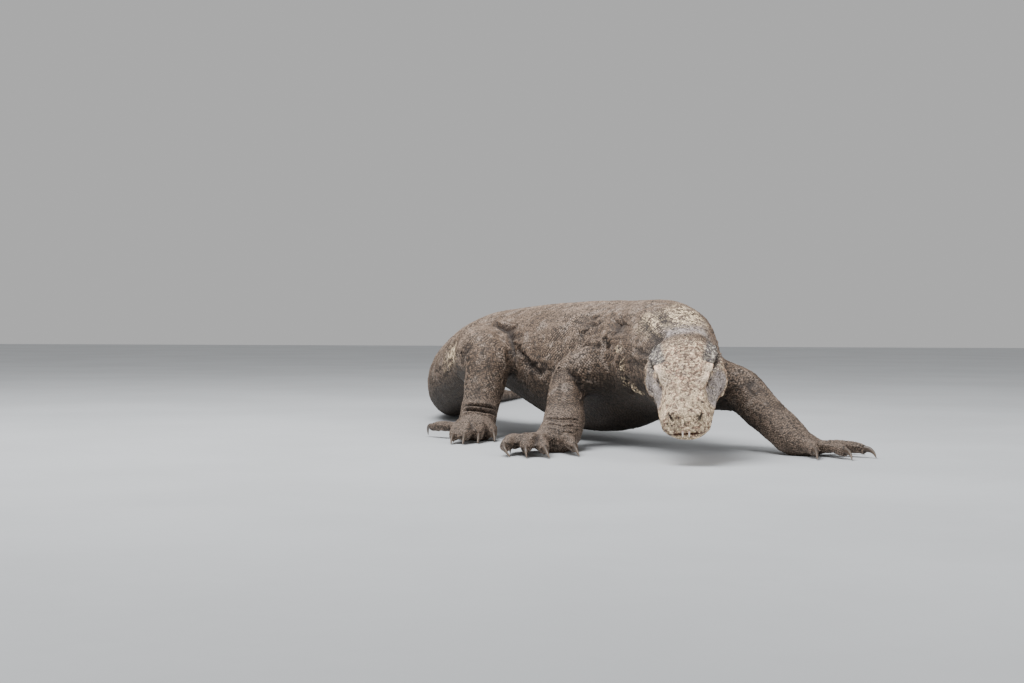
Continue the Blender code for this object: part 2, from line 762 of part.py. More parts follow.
def part_flesh(flesh, home):
    """Makes each separate body of the parted flesh an object, named after the nearest label."""
    groups = loose_parts(flesh)
    spots = np.array([v.co[:] for v in flesh.data.vertices])
    labels = dict(FLESH_PIECES)
    made = []
    for group in sorted(groups, key=len, reverse=True):
        low, high = spots[group].min(axis=0), spots[group].max(axis=0)
        middle = Vector((low + high) / 2)
        name = min(labels, key=lambda label: (Vector(labels[label]) - middle).length)
        del labels[name]
        keep = set(group)
        bm = bmesh.new()
        bm.from_mesh(flesh.data)
        spare = [v for v in bm.verts if v.index not in keep]
        bmesh.ops.delete(bm, geom=spare, context="VERTS")
        made.append(new_object(name, bm, home))
    bpy.data.objects.remove(flesh, do_unlink=True)
    return made


def dress(objects, kind):
    """Gives each object the material of its kind, and shades it smooth up to its sharp edges."""
    colour, roughness, metallic = LOOKS[kind]
    material = bpy.data.materials.new(kind)
    material.use_nodes = True
    shader = material.node_tree.nodes["Principled BSDF"]
    shader.inputs["Base Color"].default_value = (*colour, 1.0)
    shader.inputs["Roughness"].default_value = roughness
    shader.inputs["Metallic"].default_value = metallic
    for obj in objects:
        obj.data.materials.clear()
        obj.data.materials.append(material)
        obj.data.shade_smooth()
        obj.data.set_sharp_from_angle(angle=SHARP_ANGLE)


def carry(pieces, home):
    """Parents every piece to one empty, and moves it so that the origin is under the middle."""
    base = bpy.data.objects.new("komodo_dragon_base", None)
    home.objects.link(base)
    for piece in pieces:
        piece.parent = base
    corners = np.array([piece.matrix_basis @ v.co for piece in pieces for v in piece.data.vertices])
    low, high = corners.min(axis=0), corners.max(axis=0)
    base.location = (-(low[0] + high[0]) / 2, -(low[1] + high[1]) / 2, -low[2])


def main():
    clear_scene()
    home = new_collection("komodo_dragon")
    tools = new_collection("cutters")
    pieces = build_head(home) + build_spine(home) + build_legs(home)
    pieces += build_digits(home) + build_muscles(home)
    flesh = draw_together(pieces)
    for cutter in (
        ground_cutter(tools),
        joined(
            "sockets",
            build_claws(tools, GAP) + build_eyes(tools, GAP) + build_teeth(tools, GAP),
            tools,
        ),
        build_mouth_cutter(tools),
        *build_slabs(tools),
    ):
        subtract(flesh, cutter)
    flesh_pieces = part_flesh(flesh, home)
    claws, eyes, teeth = build_claws(home), build_eyes(home), build_teeth(home)
    skull = [piece for piece in flesh_pieces if piece.name in ("head", "lower_jaw")]
    dress([piece for piece in flesh_pieces if piece not in skull], "body_hide")
    dress(skull, "head_hide")
    dress(claws, "claw_horn")
    dress(eyes, "eye_surface")
    dress(teeth, "tooth_enamel")
    carry(flesh_pieces + claws + eyes + teeth, home)


main()
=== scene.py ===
import heapq
import math
from contextlib import contextmanager

import bpy
import numpy as np
from bpy.props import FloatProperty, FloatVectorProperty, IntProperty, PointerProperty
from mathutils import Euler, Matrix, Vector, noise
from mathutils.kdtree import KDTree


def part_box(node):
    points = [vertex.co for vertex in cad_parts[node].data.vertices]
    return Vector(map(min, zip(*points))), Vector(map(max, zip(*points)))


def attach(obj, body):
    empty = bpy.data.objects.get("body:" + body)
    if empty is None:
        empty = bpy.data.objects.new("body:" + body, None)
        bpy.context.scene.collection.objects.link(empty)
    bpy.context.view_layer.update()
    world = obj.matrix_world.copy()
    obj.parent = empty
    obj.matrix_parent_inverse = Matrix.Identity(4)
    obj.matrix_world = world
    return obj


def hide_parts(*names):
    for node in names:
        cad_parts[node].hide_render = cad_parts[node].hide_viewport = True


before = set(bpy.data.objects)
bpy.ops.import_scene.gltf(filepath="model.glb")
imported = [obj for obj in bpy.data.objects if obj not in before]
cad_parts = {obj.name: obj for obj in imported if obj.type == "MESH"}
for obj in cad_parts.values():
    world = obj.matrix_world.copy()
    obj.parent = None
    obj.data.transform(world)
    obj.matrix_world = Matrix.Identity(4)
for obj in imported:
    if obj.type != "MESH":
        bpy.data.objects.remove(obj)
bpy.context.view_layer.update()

bl_info = {
    "name": "Komodo Dragon Model",
    "version": (1, 0, 0),
    "blender": (4, 5, 0),
    "location": "3D View > Sidebar > Dragon",
    "description": "Skins, scales and finishes a life-size komodo dragon over its solid frame",
    "category": "Object",
}

# ---------------------------------------------------------------- the animal's own measures, metres

FLESH = sorted(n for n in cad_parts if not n.startswith(("claw", "eye", "tooth")))
CLAWS = sorted(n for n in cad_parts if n.startswith("claw"))
TEETH = sorted(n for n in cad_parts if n.startswith("tooth"))
FEET = ("hand_right", "hand_left", "foot_right", "foot_left")
LIMBS = [n for n in FLESH if n.startswith(("upper_arm", "forearm", "thigh", "shank"))]
SIDES = (-1, 1)  # the animal's right side lies towards -X
EYES = ("eye_right", "eye_left")  # in the order of the sides

HEAD_PITCH = math.radians(29.0)  # how far the snout points down
HEAD_YAW = math.radians(5.7)  # how far the head turns to its right
HEAD_ROLL = 0.06  # the head leans to its right
MIDDLE_LEAN = 0.035  # and its middle line turns with it
LEAN_END = 0.12  # as far back as this
EYE_ALONG = 0.101  # from the snout tip back along the mouth line
EYE_UP = 0.034  # above the mouth line
EYE_SEAT = (0.1018, 0.0328, 0.0340)  # middle of the eyeball: along, out from the leaning middle, up
EYEBALL = 0.0085
SNOUT_IN_PLAN = Vector((0.106, -0.735, 0.048))  # snout tip in the plan of the body below

CAMERA_IN_PLAN = Vector((-0.15, -3.30, 0.22))
CAMERA_DOWN = math.radians(0.8455)
CAMERA_ROLL = 0.004
CAMERA_LENS = 61.45

FOOT_FADE, LIMB_FADE = 0.012, 0.004  # how far feet and limbs still count outside their boxes
SWELL = 0.0018  # how far the flesh is swollen to close its cuts, before it is drawn in again
SOCKET_FILL = 0.0080  # radius of the filling in an eye socket
TOE_FILL = 0.0056  # radius of the filling where a claw enters its toe
BROAD_ROUNDS = 110  # rounds of smoothing on trunk and tail
TAIL_START = 0.88  # along the backbone
TOES_APART = 0.07  # toes further apart than this have no furrow between them
PIT_RIM = 0.0110  # reach of the raised rim round a pit of the head
CLAW_STOUT = 0.60  # how much thicker the claws are than their solids at the root
TOOTH_STOUT = 1.35
TOOTH_LONGER = 0.0022
TOOTH_FORWARD = 0.0030  # how far their points stand out over the lower lip

ROW_GAP = 1.05  # distance between rows of scales, in scale widths
MOST_ROWS = 4096  # more than there are from snout to tail tip
SHORTEST_ROW = 3  # in scales
SCALE_SIDES = 6
SCALE_TOP = 0.62  # width of the flat top of a scale
SCALE_WIDE, SCALE_LONG = 1.30, 1.54  # size of a scale across and along its row, in scale widths
TOP_AT, RIM_AT = 0.80, -0.42  # height of its top and of its sunk rim, in heights of a scale
LEAST, MOST = 0.72, 1.5  # how far scales shrink and grow where the rows crowd and spread
UNEVEN, UNEVEN_FACE = 0.11, 0.02  # how far scales stray, and how much more on the face
SURFACE_SHARE = 0.4  # how much a scale stands on the smooth surface rather than on its own triangle
SCALE_PATCH = 0.003  # width of a scale in the UV map
GROUND_GAP = 0.0002  # lowest place of a scale
TRIANGLE_LIMIT = 200000  # of one coat piece
FIRST_SEED = 7

# Coat pieces, each with the solids whose scales it holds
COATS = {
    "scales_head": ("head", "lower_jaw"),
    "scales_neck": ("neck",),
    "scales_chest": ("chest",),
    "scales_belly": ("belly",),
    "scales_hips": ("hips",),
    "scales_tail_root": ("tail_1",),
    "scales_tail_end": ("tail_2", "tail_3", "tail_4"),
    "scales_fore_right": ("upper_arm_right", "forearm_right", "hand_right"),
    "scales_fore_left": ("upper_arm_left", "forearm_left", "hand_left"),
    "scales_hind_right": ("thigh_right", "shank_right", "foot_right"),
    "scales_hind_left": ("thigh_left", "shank_left", "foot_left"),
}

# Marks on the skin: what a place belongs to, and how it is coloured
REGIONS = ("face", "foot", "tail", "under", "nape", "bare", "low")
# Of the tints, dark is painted shade: it darkens creases, pits, slits and shadowed patches
TINTS = ("face", "foot", "under", "grey", "slate", "cream", "brow", "dark", "red")


def tenths(*values):
    """Measures in metres from whole tenths of a millimetre."""
    return np.array(values) / 10000


def middle(node):
    low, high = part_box(node)
    return (low + high) / 2


def head_axes():
    """Unit vectors of the head: back along the mouth line, to its left, and up from the mouth."""
    flat = math.cos(HEAD_PITCH)
    back = Vector((math.sin(HEAD_YAW) * flat, math.cos(HEAD_YAW) * flat, math.sin(HEAD_PITCH)))
    left = Vector((math.cos(HEAD_YAW), -math.sin(HEAD_YAW), 0.0))
    return back, left, left.cross(back)


BACK, LEFT, LIFT = head_axes()
SNOUT = (middle("eye_left") + middle("eye_right")) / 2 - BACK * EYE_ALONG - LIFT * EYE_UP
HOME = SNOUT - SNOUT_IN_PLAN  # from the plan of the body to the frame


def in_frame(line):
    """Places of the body's plan, given in tenths of a millimetre, where they lie in the frame."""
    return tenths(*line) + np.array(HOME)


# ---------------------------------------------------------------- lines, tenths of a millimetre

# Lines of the head: back along, out from and up from its middle, the same on both sides
BROW = tenths((840, 325, 385), (960, 372, 420), (1080, 415, 445), (1195, 445, 462))
LIPS = tenths(
    (10, 0, -24), (28, 150, -26), (70, 245, -30), (160, 308, -34),
    (300, 370, -36), (600, 420, -30), (900, 470, -10), (1140, 530, 30),
    (1260, 560, 0),
)
NOSTRIL = tenths((190, 245, 245), (95, 195, 180))
CHEEK = tenths((800, 430, 130), (1050, 490, 120), (1300, 540, 100))
TEMPLE = tenths((1400, 430, 400), (1650, 460, 380), (1950, 500, 320))
TEMPLE_FOLD = tenths(
    (1310, 475, 350), (1580, 525, 285), (1925, 545, 220), (2220, 585, 190),
    (2270, 530, 260), (2210, 420, 350), (2140, 330, 410),
)
JAW_FOLD = tenths((1120, 525, -200), (1450, 580, -280), (1800, 600, -300))
LID_FOLD = tenths((1050, 405, 415), (960, 388, 370), (895, 368, 330), (830, 355, 250))
NOSE = tenths(138, 215, 210)

# Crown of the head from the snout back: how far along, how high its plate, how far out its edge
CROWN_HIGH = tenths((300, 600, 850, 1000, 1200, 1500, 2000), (290, 350, 410, 450, 485, 525, 550))
CROWN_EDGE = tenths((200, 400, 660, 850, 1190, 1280, 1500), (240, 290, 320, 335, 440, 390, 260))

# What is worked into the head on both sides, in order: kind, line, depth, half width, bank, fade, shade.
# A laid fold follows the surface near its line, a free one stays on its line, a lump is round, and a
# pit is round with a raised rim. A negative depth raises. Normals are brought up to date at each turn.
# The shade column is painted shade: it darkens the bottom of a fold and the middle of a pit.
HEAD_WORK = (
    # fold of the upper lid, which runs on down before the eye
    ("laid", LID_FOLD[:3], 5, 24, 0, 0.05, 1.0),
    ("laid", LID_FOLD[2:], 24, 22, 6, 0.15, 1.0),
    # cheek and lower lid stand out as far as the brow, so that the eye lies in a groove
    ("free", tenths((840, 390, 150), (980, 430, 160), (1120, 470, 190), (1260, 500, 260)),
     -34, 80, 0, 0.3, 0.0),
    ("lump", tenths((800, 370, 290)), 20, 60, 0, 0.0, 0.0),
    ("free", tenths((860, 385, 300), (790, 405, 240), (710, 415, 150)), 36, 24, 8, 0.2, 1.0),
    # hollow along the side of the snout
    ("free", tenths((700, 405, 140), (500, 370, 120), (340, 330, 100)), 22, 80, 0, 0.2, 0.0),
    # temple: a rounded muscle, parted from the brow by a groove and from the neck by a deep fold
    ("free", tenths((1250, 450, 400), (1330, 360, 470), (1360, 240, 510)), 40, 48, 0, 0.3, 0.35),
    ("lump", tenths((1660, 430, 380)), -34, 170, 0, 0.0, 0.0),
    ("turn",),
    ("laid", TEMPLE_FOLD, 68, 36, 30, 0.12, 1.0),
    ("turn",),
    # jaw muscle, the fold under it, and loose wrinkles at the corner of the jaw
    ("lump", tenths((1580, 570, 20)), -32, 240, 0, 0.0, 0.0),
    ("laid", JAW_FOLD, 32, 42, 10, 0.2, 0.5),
    *(
        ("laid", tenths((a, 580, low), (a + 60, 600, 0), (a + 40, 580, -180)), 16, 26, 10, 0.35, 0.35)
        for a, low in ((1500, 140), (1670, 120), (1840, 100), (2010, 80))
    ),
    # ear: an oval opening behind the jaw
    ("pit", tenths((1970, 600, 50)), 70, 52, 14, 0.0, 1.0),
    ("turn",),
    # lips along the side of the jaw
    ("laid", LIPS[3:], 32, 14, 12, 0.04, 0.8),
    # nostril: a slanted slit with a raised rim
    ("laid", NOSTRIL, -20, 50, 0, 0.05, 0.0),
    ("turn",),
    ("laid", NOSTRIL, 60, 20, 0, 0.02, 1.0),
)

# The middle of the back from nape to tail tip, in the plan of the body
BACKBONE = (
    (1210, -5750, 1280), (1170, -5050, 1450), (1100, -4350, 1530), (1010, -3750, 1540),
    (840, -3100, 1500), (480, -2250, 1350), (-60, -1300, 1310), (-640, -350, 1440),
    (-1180, 500, 1540), (-1660, 1300, 1600), (-2100, 2150, 1330), (-2500, 3200, 980),
    (-2710, 4300, 680), (-2740, 5500, 490), (-2630, 7000, 380), (-2370, 8800, 280),
    (-1970, 10700, 190), (-1500, 12600, 130), (-1120, 14200, 70), (-900, 15400, 40),
)

# The proud pale edge of the throat, in the plan of the body
THROAT_RIM = (
    (232, -4289, 1644), (230, -4384, 1531), (258, -4446, 1385), (291, -4457, 1255),
    (336, -4398, 1106), (412, -4490, 1036), (511, -4705, 997), (621, -4758, 943),
)

# Coloured patches of the body in its plan: kind, line, and where the patch starts and stops fading
PATCHES = (
    ("cream", THROAT_RIM, 30, 85),
    ("grey", ((1000, -5600, 1900), (1200, -5620, 1920), (1500, -5400, 1960)), 60, 180),
    ("grey", ((880, -5400, 1960), (1200, -5450, 1980), (1500, -5220, 2000)), 80, 200),
    ("cream", ((800, -4900, 2120), (1180, -5050, 2140), (1400, -4550, 2260)), 160, 460),
    ("cream", ((-2620, -100, 1500), (-2730, 1700, 1410)), 100, 260),
    # the dark patches are painted shadow, under the neck and low on the chest
    ("dark", ((460, -4900, 1340), (560, -4900, 1100)), 80, 240),
    ("dark", ((-50, -3000, 550), (-200, -3300, 900)), 60, 300),
)

# Folds of the body in its plan: places along the fold, depth, half width and height of its banks.
# A negative depth is a ridge.
FOLDS = (
    # shoulder: the deep fold in front of the arm, and the edge of the arm's top
    (((350, -3820, 2200), (270, -3905, 2076), (197, -3880, 1970), (130, -3800, 1880),
      (60, -3690, 1775), (50, -3760, 1700)), 90, 42, 30),
    (((-330, -2870, 1665), (-175, -3310, 1710), (26, -3700, 1680)), 55, 40, 25),
    # wrinkles behind the shoulder
    (((107, -3040, 2190), (-30, -3050, 2040), (-130, -3230, 1770)), 32, 34, 18),
    (((-20, -2800, 2180), (-120, -2810, 2070), (-250, -2770, 1930), (-310, -2820, 1770)),
     30, 34, 18),
    (((-50, -2555, 2255), (-227, -2650, 2050), (-310, -2720, 1880)), 24, 32, 14),
    # throat: its proud edge, and the furrow outside it
    (THROAT_RIM, -44, 34, 0),
    (((177, -4288, 1528), (203, -4409, 1384), (235, -4432, 1238), (282, -4354, 1063),
      (384, -4431, 968), (530, -4220, 902)), 46, 34, 10),
    # armpit of the right arm
    (((-567, -3446, 1360), (-480, -3570, 1220), (-390, -3620, 1095), (-340, -3630, 980),
      (-240, -3600, 850)), 60, 50, 20),
    # flank: the loose flap before the thigh
    (((-1440, -1100, 1600), (-1300, -1400, 1496), (-1247, -1530, 1390), (-1165, -1695, 1300),
      (-1110, -1790, 1230), (-1000, -1960, 1200), (-900, -2100, 1160)),
     65, 42, 30),
    (((-1020, -1940, 1360), (-900, -2126, 1300), (-834, -2215, 1246)), 30, 30, 12),
    # thigh: the crease over it, the ridge and groove down it
    (((-1990, 225, 2020), (-1905, 260, 2030), (-1800, 110, 2020), (-1700, -140, 1985),
      (-1610, -450, 1915), (-1540, -730, 1820), (-1510, -910, 1710), (-1470, -1080, 1570),
      (-1440, -1180, 1390), (-1425, -1160, 1180)), 50, 42, 24),
    (((-1540, -550, 1946), (-1430, -860, 1890)), 28, 32, 14),
    (((-1665, -1010, 1680), (-1650, -1280, 1470), (-1670, -1435, 1190)), -32, 60, 0),
    (((-2195, -1056, 1735), (-2305, -1120, 1520), (-2425, -810, 1310)), 34, 55, 14),
    # rings round the ankle and the wrists
    (((-2330, -1840, 570), (-2170, -1940, 597), (-2000, -1940, 560), (-1870, -1800, 500)),
     46, 28, 20),
    (((-2360, -1900, 500), (-2220, -2000, 520), (-2080, -2000, 500), (-1970, -1960, 440),
      (-1890, -1850, 400)), 46, 26, 20),
    (((-970, -4310, 520), (-700, -4500, 480), (-400, -4370, 450)), 26, 22, 12),
    (((-960, -4500, 440), (-690, -4740, 400), (-410, -4550, 380)), 26, 22, 12),
    (((-970, -4700, 370), (-690, -4960, 320), (-500, -4800, 300)), 24, 22, 12),
    (((2620, -4050, 1350), (2443, -4196, 1123), (2346, -4432, 902)), 50, 32, 18),
    (((3000, -4780, 500), (3180, -4900, 460), (3340, -4840, 400)), 24, 22, 12),
    (((3060, -4860, 400), (3220, -5000, 370), (3380, -4940, 320)), 24, 22, 12),
    # the far side, finished like the near one
    (((1760, -3950, 2150), (1860, -3920, 2000), (1960, -3860, 1800), (2000, -3850, 1600)),
     80, 42, 30),
    (((2000, -3100, 2050), (2120, -3080, 1850), (2160, -3120, 1650)), 30, 34, 18),
    (((300, 500, 2000), (180, 150, 1900), (60, 0, 1650), (-40, -100, 1300)),
     48, 42, 24),
    (((750, -500, 1500), (850, -900, 1300), (1050, -1500, 1150)), 50, 42, 24),
    (((1400, -4700, 1500), (1650, -4400, 1400), (1800, -4200, 1200), (1700, -4300, 950)),
     -40, 48, 0),
)

# Round pits in the plan of the body: place, reach and depth
PITS = (
    ((96, -3887, 1672), 48, 85), ((646, -4620, 2139), 24, 26),
    ((801, -4855, 2146), 22, 24), ((970, -5125, 2113), 24, 26),
    ((728, -5234, 1928), 24, 28), ((534, -5199, 1586), 26, 30),
    ((461, -4940, 1352), 30, 34), ((-768, -2303, 1330), 28, 30),
)


# ---------------------------------------------------------------- measuring


def head_point(along, out, up):
    return SNOUT + BACK * along + LEFT * out + LIFT * up


def to_head(places):
    """Along, out and up of many places, measured from the snout tip."""
    away = places - np.array(SNOUT)
    return away @ np.array(BACK), away @ np.array(LEFT), away @ np.array(LIFT)


def head_plan(places):
    """Along, out and up on the head, measured from its own middle, which leans a little."""
    along, out, up = to_head(places)
    return along, out + MIDDLE_LEAN * np.clip(along, 0, LEAN_END), up - HEAD_ROLL * out


def on_head(along, out, up):
    """The place with these measures in the head's own plan."""
    true_out = out - MIDDLE_LEAN * min(max(along, 0), LEAN_END)
    return np.array(head_point(along, true_out, up + HEAD_ROLL * true_out))


def head_line(points, side):
    return [on_head(along, side * out, up) for along, out, up in points]


def eye_seat(side):
    return head_line([EYE_SEAT], side)[0]


def step(low, high, value):
    """0 below low, 1 above high, and a smooth rise between."""
    t = np.clip((value - low) / (high - low), 0.0, 1.0)
    return t * t * (3 - 2 * t)


def fall(low, high, value):
    """1 below low, 0 above high, and a smooth fall between."""
    return 1 - step(low, high, value)


def bell(gap, reach, power=2):
    """1 in the middle, and less the further away."""
    return np.exp(-((gap / reach) ** power))


def head_share(places):
    """1 on the head, 0 behind the skull and on whatever else lies beside it."""
    along, out, up = to_head(places)
    return fall(0.15, 0.215, along) * fall(0.078, 0.095, np.hypot(out, up))


def near_box(places, nodes, soft):
    """1 inside the box of any of the solids, falling to 0 at soft metres outside it."""
    most = np.zeros(len(places))
    for node in nodes:
        low, high = (np.array(v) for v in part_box(node))
        off = np.maximum(np.maximum(low - places, places - high), 0.0)
        most = np.maximum(most, fall(0.0, soft, np.linalg.norm(off, axis=1)))
    return most


def near_line(places, line):
    """Distance of each place from a bent line, and how far along the line it lies."""
    line = np.array(line, float)
    best = np.full(len(places), 1e9)
    run = np.zeros(len(places))
    start = 0.0
    for a, b in zip(line[:-1], line[1:]):
        length = np.linalg.norm(b - a)
        if length == 0:
            continue
        t = np.clip(((places - a) @ (b - a)) / length**2, 0, 1)
        gap = np.linalg.norm(places - (a + t[:, None] * (b - a)), axis=1)
        closer = gap < best
        best[closer] = gap[closer]
        run[closer] = start + t[closer] * length
        start += length
    return best, run


def length_of(line):
    return sum(np.linalg.norm(np.subtract(q, p)) for p, q in zip(line[:-1], line[1:]))


# ---------------------------------------------------------------- handling


def take(*pieces):
    """Selects just these pieces and makes the first one active."""
    if bpy.context.mode != "OBJECT":
        bpy.ops.object.mode_set(mode="OBJECT")
    bpy.ops.object.select_all(action="DESELECT")
    for piece in pieces:
        piece.select_set(True)
    bpy.context.view_layer.objects.active = pieces[0]


@contextmanager
def editing(piece, whole=True):
    """Edit mode on one piece, with the whole of it selected unless told otherwise."""
    take(piece)
    bpy.ops.object.mode_set(mode="EDIT")
    if whole:
        bpy.ops.mesh.select_all(action="SELECT")
    yield
    bpy.ops.object.mode_set(mode="OBJECT")


def added(operator, name, **values):
    """The named piece that an adding operator makes."""
    bpy.ops.object.select_all(action="DESELECT")
    operator(**values)
    piece = bpy.context.active_object
    piece.name = piece.data.name = name
    return piece


def settle(piece):
    """Applies place, turn and size of the piece to its mesh."""
    take(piece)
    bpy.ops.object.transform_apply(location=True, rotation=True, scale=True)
    return piece


def smooth(piece):
    take(piece)
    bpy.ops.object.shade_smooth()


def finish(piece, kind, **values):
    """Adds one modifier with these values to the piece and applies it."""
    take(piece)
    bpy.ops.object.modifier_add(type=kind)
    modifier = piece.modifiers[-1]
    for name, value in values.items():
        setattr(modifier, name, value)
    bpy.ops.object.modifier_apply(modifier=modifier.name)


def copy_of(node):
    """A merged copy of one solid of the frame, free to be shaped."""
    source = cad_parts[node]
    piece = source.copy()
    piece.data = source.data.copy()
    piece.parent = None
    for key in list(piece.keys()):
        del piece[key]
    bpy.context.scene.collection.objects.link(piece)
    with editing(piece):
        bpy.ops.mesh.remove_doubles(threshold=0.00002)
    piece.data.materials.clear()
    return piece


def read(items, name, width=3, kind=float):
    """One property of many items as an array, a row to each item."""
    out = np.empty(len(items) * width, kind)
    items.foreach_get(name, out)
    return out.reshape(-1, width)


def places_of(piece):
    return read(piece.data.vertices, "co")


def put_places(piece, co):
    piece.data.vertices.foreach_set("co", np.ascontiguousarray(co, float).ravel())
    piece.data.update()


def normals_of(piece):
    return read(piece.data.vertex_normals, "vector")


def face_middles(piece):
    return read(piece.data.polygons, "center")


def triangles_of(piece):
    """Vertices and loops at the corners of every triangle."""
    mesh = piece.data
    mesh.calc_loop_triangles()
    return [read(mesh.loop_triangles, name, 3, np.int32) for name in ("vertices", "loops")]


def mark(piece, name, values):
    """Keeps an array on the piece as a named attribute that its material reads."""
    layer = piece.data.attributes.get(name) or piece.data.attributes.new(name, "FLOAT", "POINT")
    layer.data.foreach_set("value", np.ascontiguousarray(values, np.float32))


def read_mark(piece, name):
    return read(piece.data.attributes[name].data, "value", 1, np.float32)[:, 0].astype(float)


def weigh(piece, name, weights):
    """A vertex group from an array, in steps of a twentieth."""
    group = piece.vertex_groups.new(name=name)
    shares = np.round(np.clip(weights, 0, 1) * 20).astype(int)
    for share in range(1, 21):
        chosen = np.nonzero(shares == share)[0]
        if len(chosen):
            group.add(chosen.tolist(), share / 20, "REPLACE")


def finer(piece, chosen):
    """Parts each chosen face in four."""
    with editing(piece):
        bpy.ops.mesh.select_mode(type="FACE")
        bpy.ops.mesh.select_all(action="DESELECT")
    for items in (piece.data.vertices, piece.data.edges):
        items.foreach_set("select", np.zeros(len(items), bool))
    piece.data.polygons.foreach_set("select", chosen)
    with editing(piece, whole=False):
        bpy.ops.mesh.subdivide(number_cuts=1)
        bpy.ops.mesh.quads_convert_to_tris()


def evened(values, tri, times):
    """The values after each vertex has drawn near its neighbours, so many times."""
    pairs = np.concatenate([tri[:, [0, 1]], tri[:, [1, 2]], tri[:, [2, 0]]])
    count = np.bincount(pairs.ravel(), minlength=len(values))
    for _ in range(times):
        total = np.bincount(pairs[:, 0], values[pairs[:, 1]], len(values))
        total += np.bincount(pairs[:, 1], values[pairs[:, 0]], len(values))
        values = 0.5 * values + 0.5 * total / count
    return values


# ---------------------------------------------------------------- skin


def claw_seat(node):
    """Where a claw enters its toe, and its point."""
    co = places_of(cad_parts[node])
    point = co[co[:, 2].argmin()]
    far = co[np.linalg.norm(co - point, axis=1).argmax()]
    root = co[np.linalg.norm(co - far, axis=1) < 0.010].mean(0)
    return Vector(root), Vector(point)


def fill(place, radius):
    """A round filling that closes a hole before the skin is drawn over it."""
    sphere = bpy.ops.mesh.primitive_ico_sphere_add
    return settle(added(sphere, "filling", subdivisions=3, radius=radius, location=place))


def draw_skin(settings):
    """One closed skin over all the flesh, finer where it is worked most."""
    parts = [copy_of(node) for node in FLESH]
    for node in CLAWS:
        root, point = claw_seat(node)
        parts.append(fill(root + (point - root).normalized() * 0.004, TOE_FILL))
    for node in reversed(EYES):
        parts.append(fill(middle(node), SOCKET_FILL))
    take(*parts)
    bpy.ops.object.join()
    skin = bpy.context.active_object
    skin.name = skin.data.name = "skin"
    finish(skin, "DISPLACE", strength=SWELL, mid_level=0.0)
    finish(skin, "REMESH", mode="VOXEL", voxel_size=settings.grain, use_smooth_shade=True)

    co = places_of(skin)
    head, feet, limb = head_share(co), near_box(co, FEET, FOOT_FADE), near_box(co, LIMBS, LIMB_FADE)
    gap, _ = near_line(co, in_frame(BACKBONE))
    weigh(skin, "all", 1 - 0.6 * feet)
    weigh(skin, "broad", step(0.012, 0.075, gap) * (1 - 0.55 * limb) * (1 - feet) * (1 - 0.88 * head))
    weigh(skin, "coarse", (head < 0.05) & (feet < 0.05))
    finish(skin, "SMOOTH", factor=0.5, iterations=5, vertex_group="all")
    finish(skin, "SMOOTH", factor=0.5, iterations=BROAD_ROUNDS, vertex_group="broad")
    finish(
        skin, "DECIMATE", vertex_group="coarse", vertex_group_factor=0.02,
        ratio=settings.faces / len(skin.data.polygons) / 2, use_collapse_triangulate=True,
    )

    finer(skin, head_share(face_middles(skin)) > 0.5)
    middles = face_middles(skin)
    along, out, up = head_plan(middles)
    mirrored = np.stack([along, np.abs(out), up], 1)
    eyes, nose = (np.linalg.norm(mirrored - place, axis=1) for place in (EYE_SEAT, NOSE))
    mouth = (along < 0.045) & (np.abs(up + 0.002) < 0.006) & (np.abs(out) < 0.036)
    finer(skin, ((eyes < 0.0225) | mouth | (nose < 0.010)) & (head_share(middles) > 0.5))
    middles = face_middles(skin)
    folded = np.zeros(len(middles), bool)
    for line, _, width, _ in FOLDS:
        gap, _ = near_line(middles, in_frame(line))
        folded |= gap < 0.006 + 2.5 * tenths(width)
    finer(skin, folded & (head_share(middles) < 0.1))
    weigh(skin, "face", head_share(places_of(skin)))
    finish(skin, "SMOOTH", factor=0.5, iterations=4, vertex_group="face")
    skin.vertex_groups.clear()
    return skin


class Clay:
    """Places and normals of a piece while it is worked by hand, and how much painted shade darkens its
    creases.
    """

    def __init__(self, piece):
        self.piece = piece
        self.co, self.no = places_of(piece), normals_of(piece)
        self.dark, self.red = np.zeros((2, len(self.co)))
        self.tri, _ = triangles_of(piece)

    def turn(self):
        """Brings the normals up to date with the places."""
        put_places(self.piece, self.co)
        self.no = normals_of(self.piece)

    def move(self, direction, amount):
        """Moves every place by its own amount, in one direction or along a direction of its own."""
        self.co += direction * amount[:, None]

    # painted shade: each place keeps the darkest share laid on it
    def shade(self, share):
        self.dark = np.maximum(self.dark, share)

    def soften(self, share, times):
        """Draws the places marked towards the middle of their neighbours."""
        for _ in range(times):
            for axis in range(3):
                drawn = evened(self.co[:, axis], self.tri, 1)
                self.co[:, axis] += (drawn - self.co[:, axis]) * share
        self.turn()

    def laid(self, line):
        """The line laid on the surface, in steps of about 3 mm."""
        line = np.array(line, float)
        spots = [line[0]]
        for a, b in zip(line[:-1], line[1:]):
            parts = max(1, int(np.linalg.norm(b - a) / 0.003))
            spots += [a + (b - a) * n / parts for n in range(1, parts + 1)]
        return [self.co[np.linalg.norm(self.co - spot, axis=1).argmin()] for spot in spots]

    def push(self, centre, reach, height, shade=0.0):
        """Raises, or with a negative height sinks, a soft round place."""
        share = bell(np.linalg.norm(self.co - np.array(centre), axis=1), reach)
        self.move(self.no, height * share)
        # painted shade in the middle of the round place
        self.shade(shade * share)

    def crease(self, line, depth, width, bank=0.0, fade=0.2, shade=0.0):
        """Sinks a groove along a bent line, with its banks raised, fading out towards both ends."""
        gap, run = near_line(self.co, line)
        total = length_of(line)
        soft = max(fade * total, 1e-6)
        share = step(-0.3 * soft, soft, run) * step(-0.3 * soft, soft, total - run)
        core = bell(gap, width)
        self.move(self.no, share * (bank * bell(gap - 2.1 * width, width) - depth * core))
        # painted shade along the bottom of the groove
        self.shade(shade * share * core)


def wrinkled(places, stretch, reach):
    """Smooth noise from -1 to 1 over many places, drawn out along a direction."""
    along = np.array(stretch, float)
    far = np.linalg.norm(along)
    along /= far
    flat = places - np.outer(places @ along, along) * (1 - 1 / far)
    return np.array([noise.noise(Vector(spot)) for spot in flat / reach])


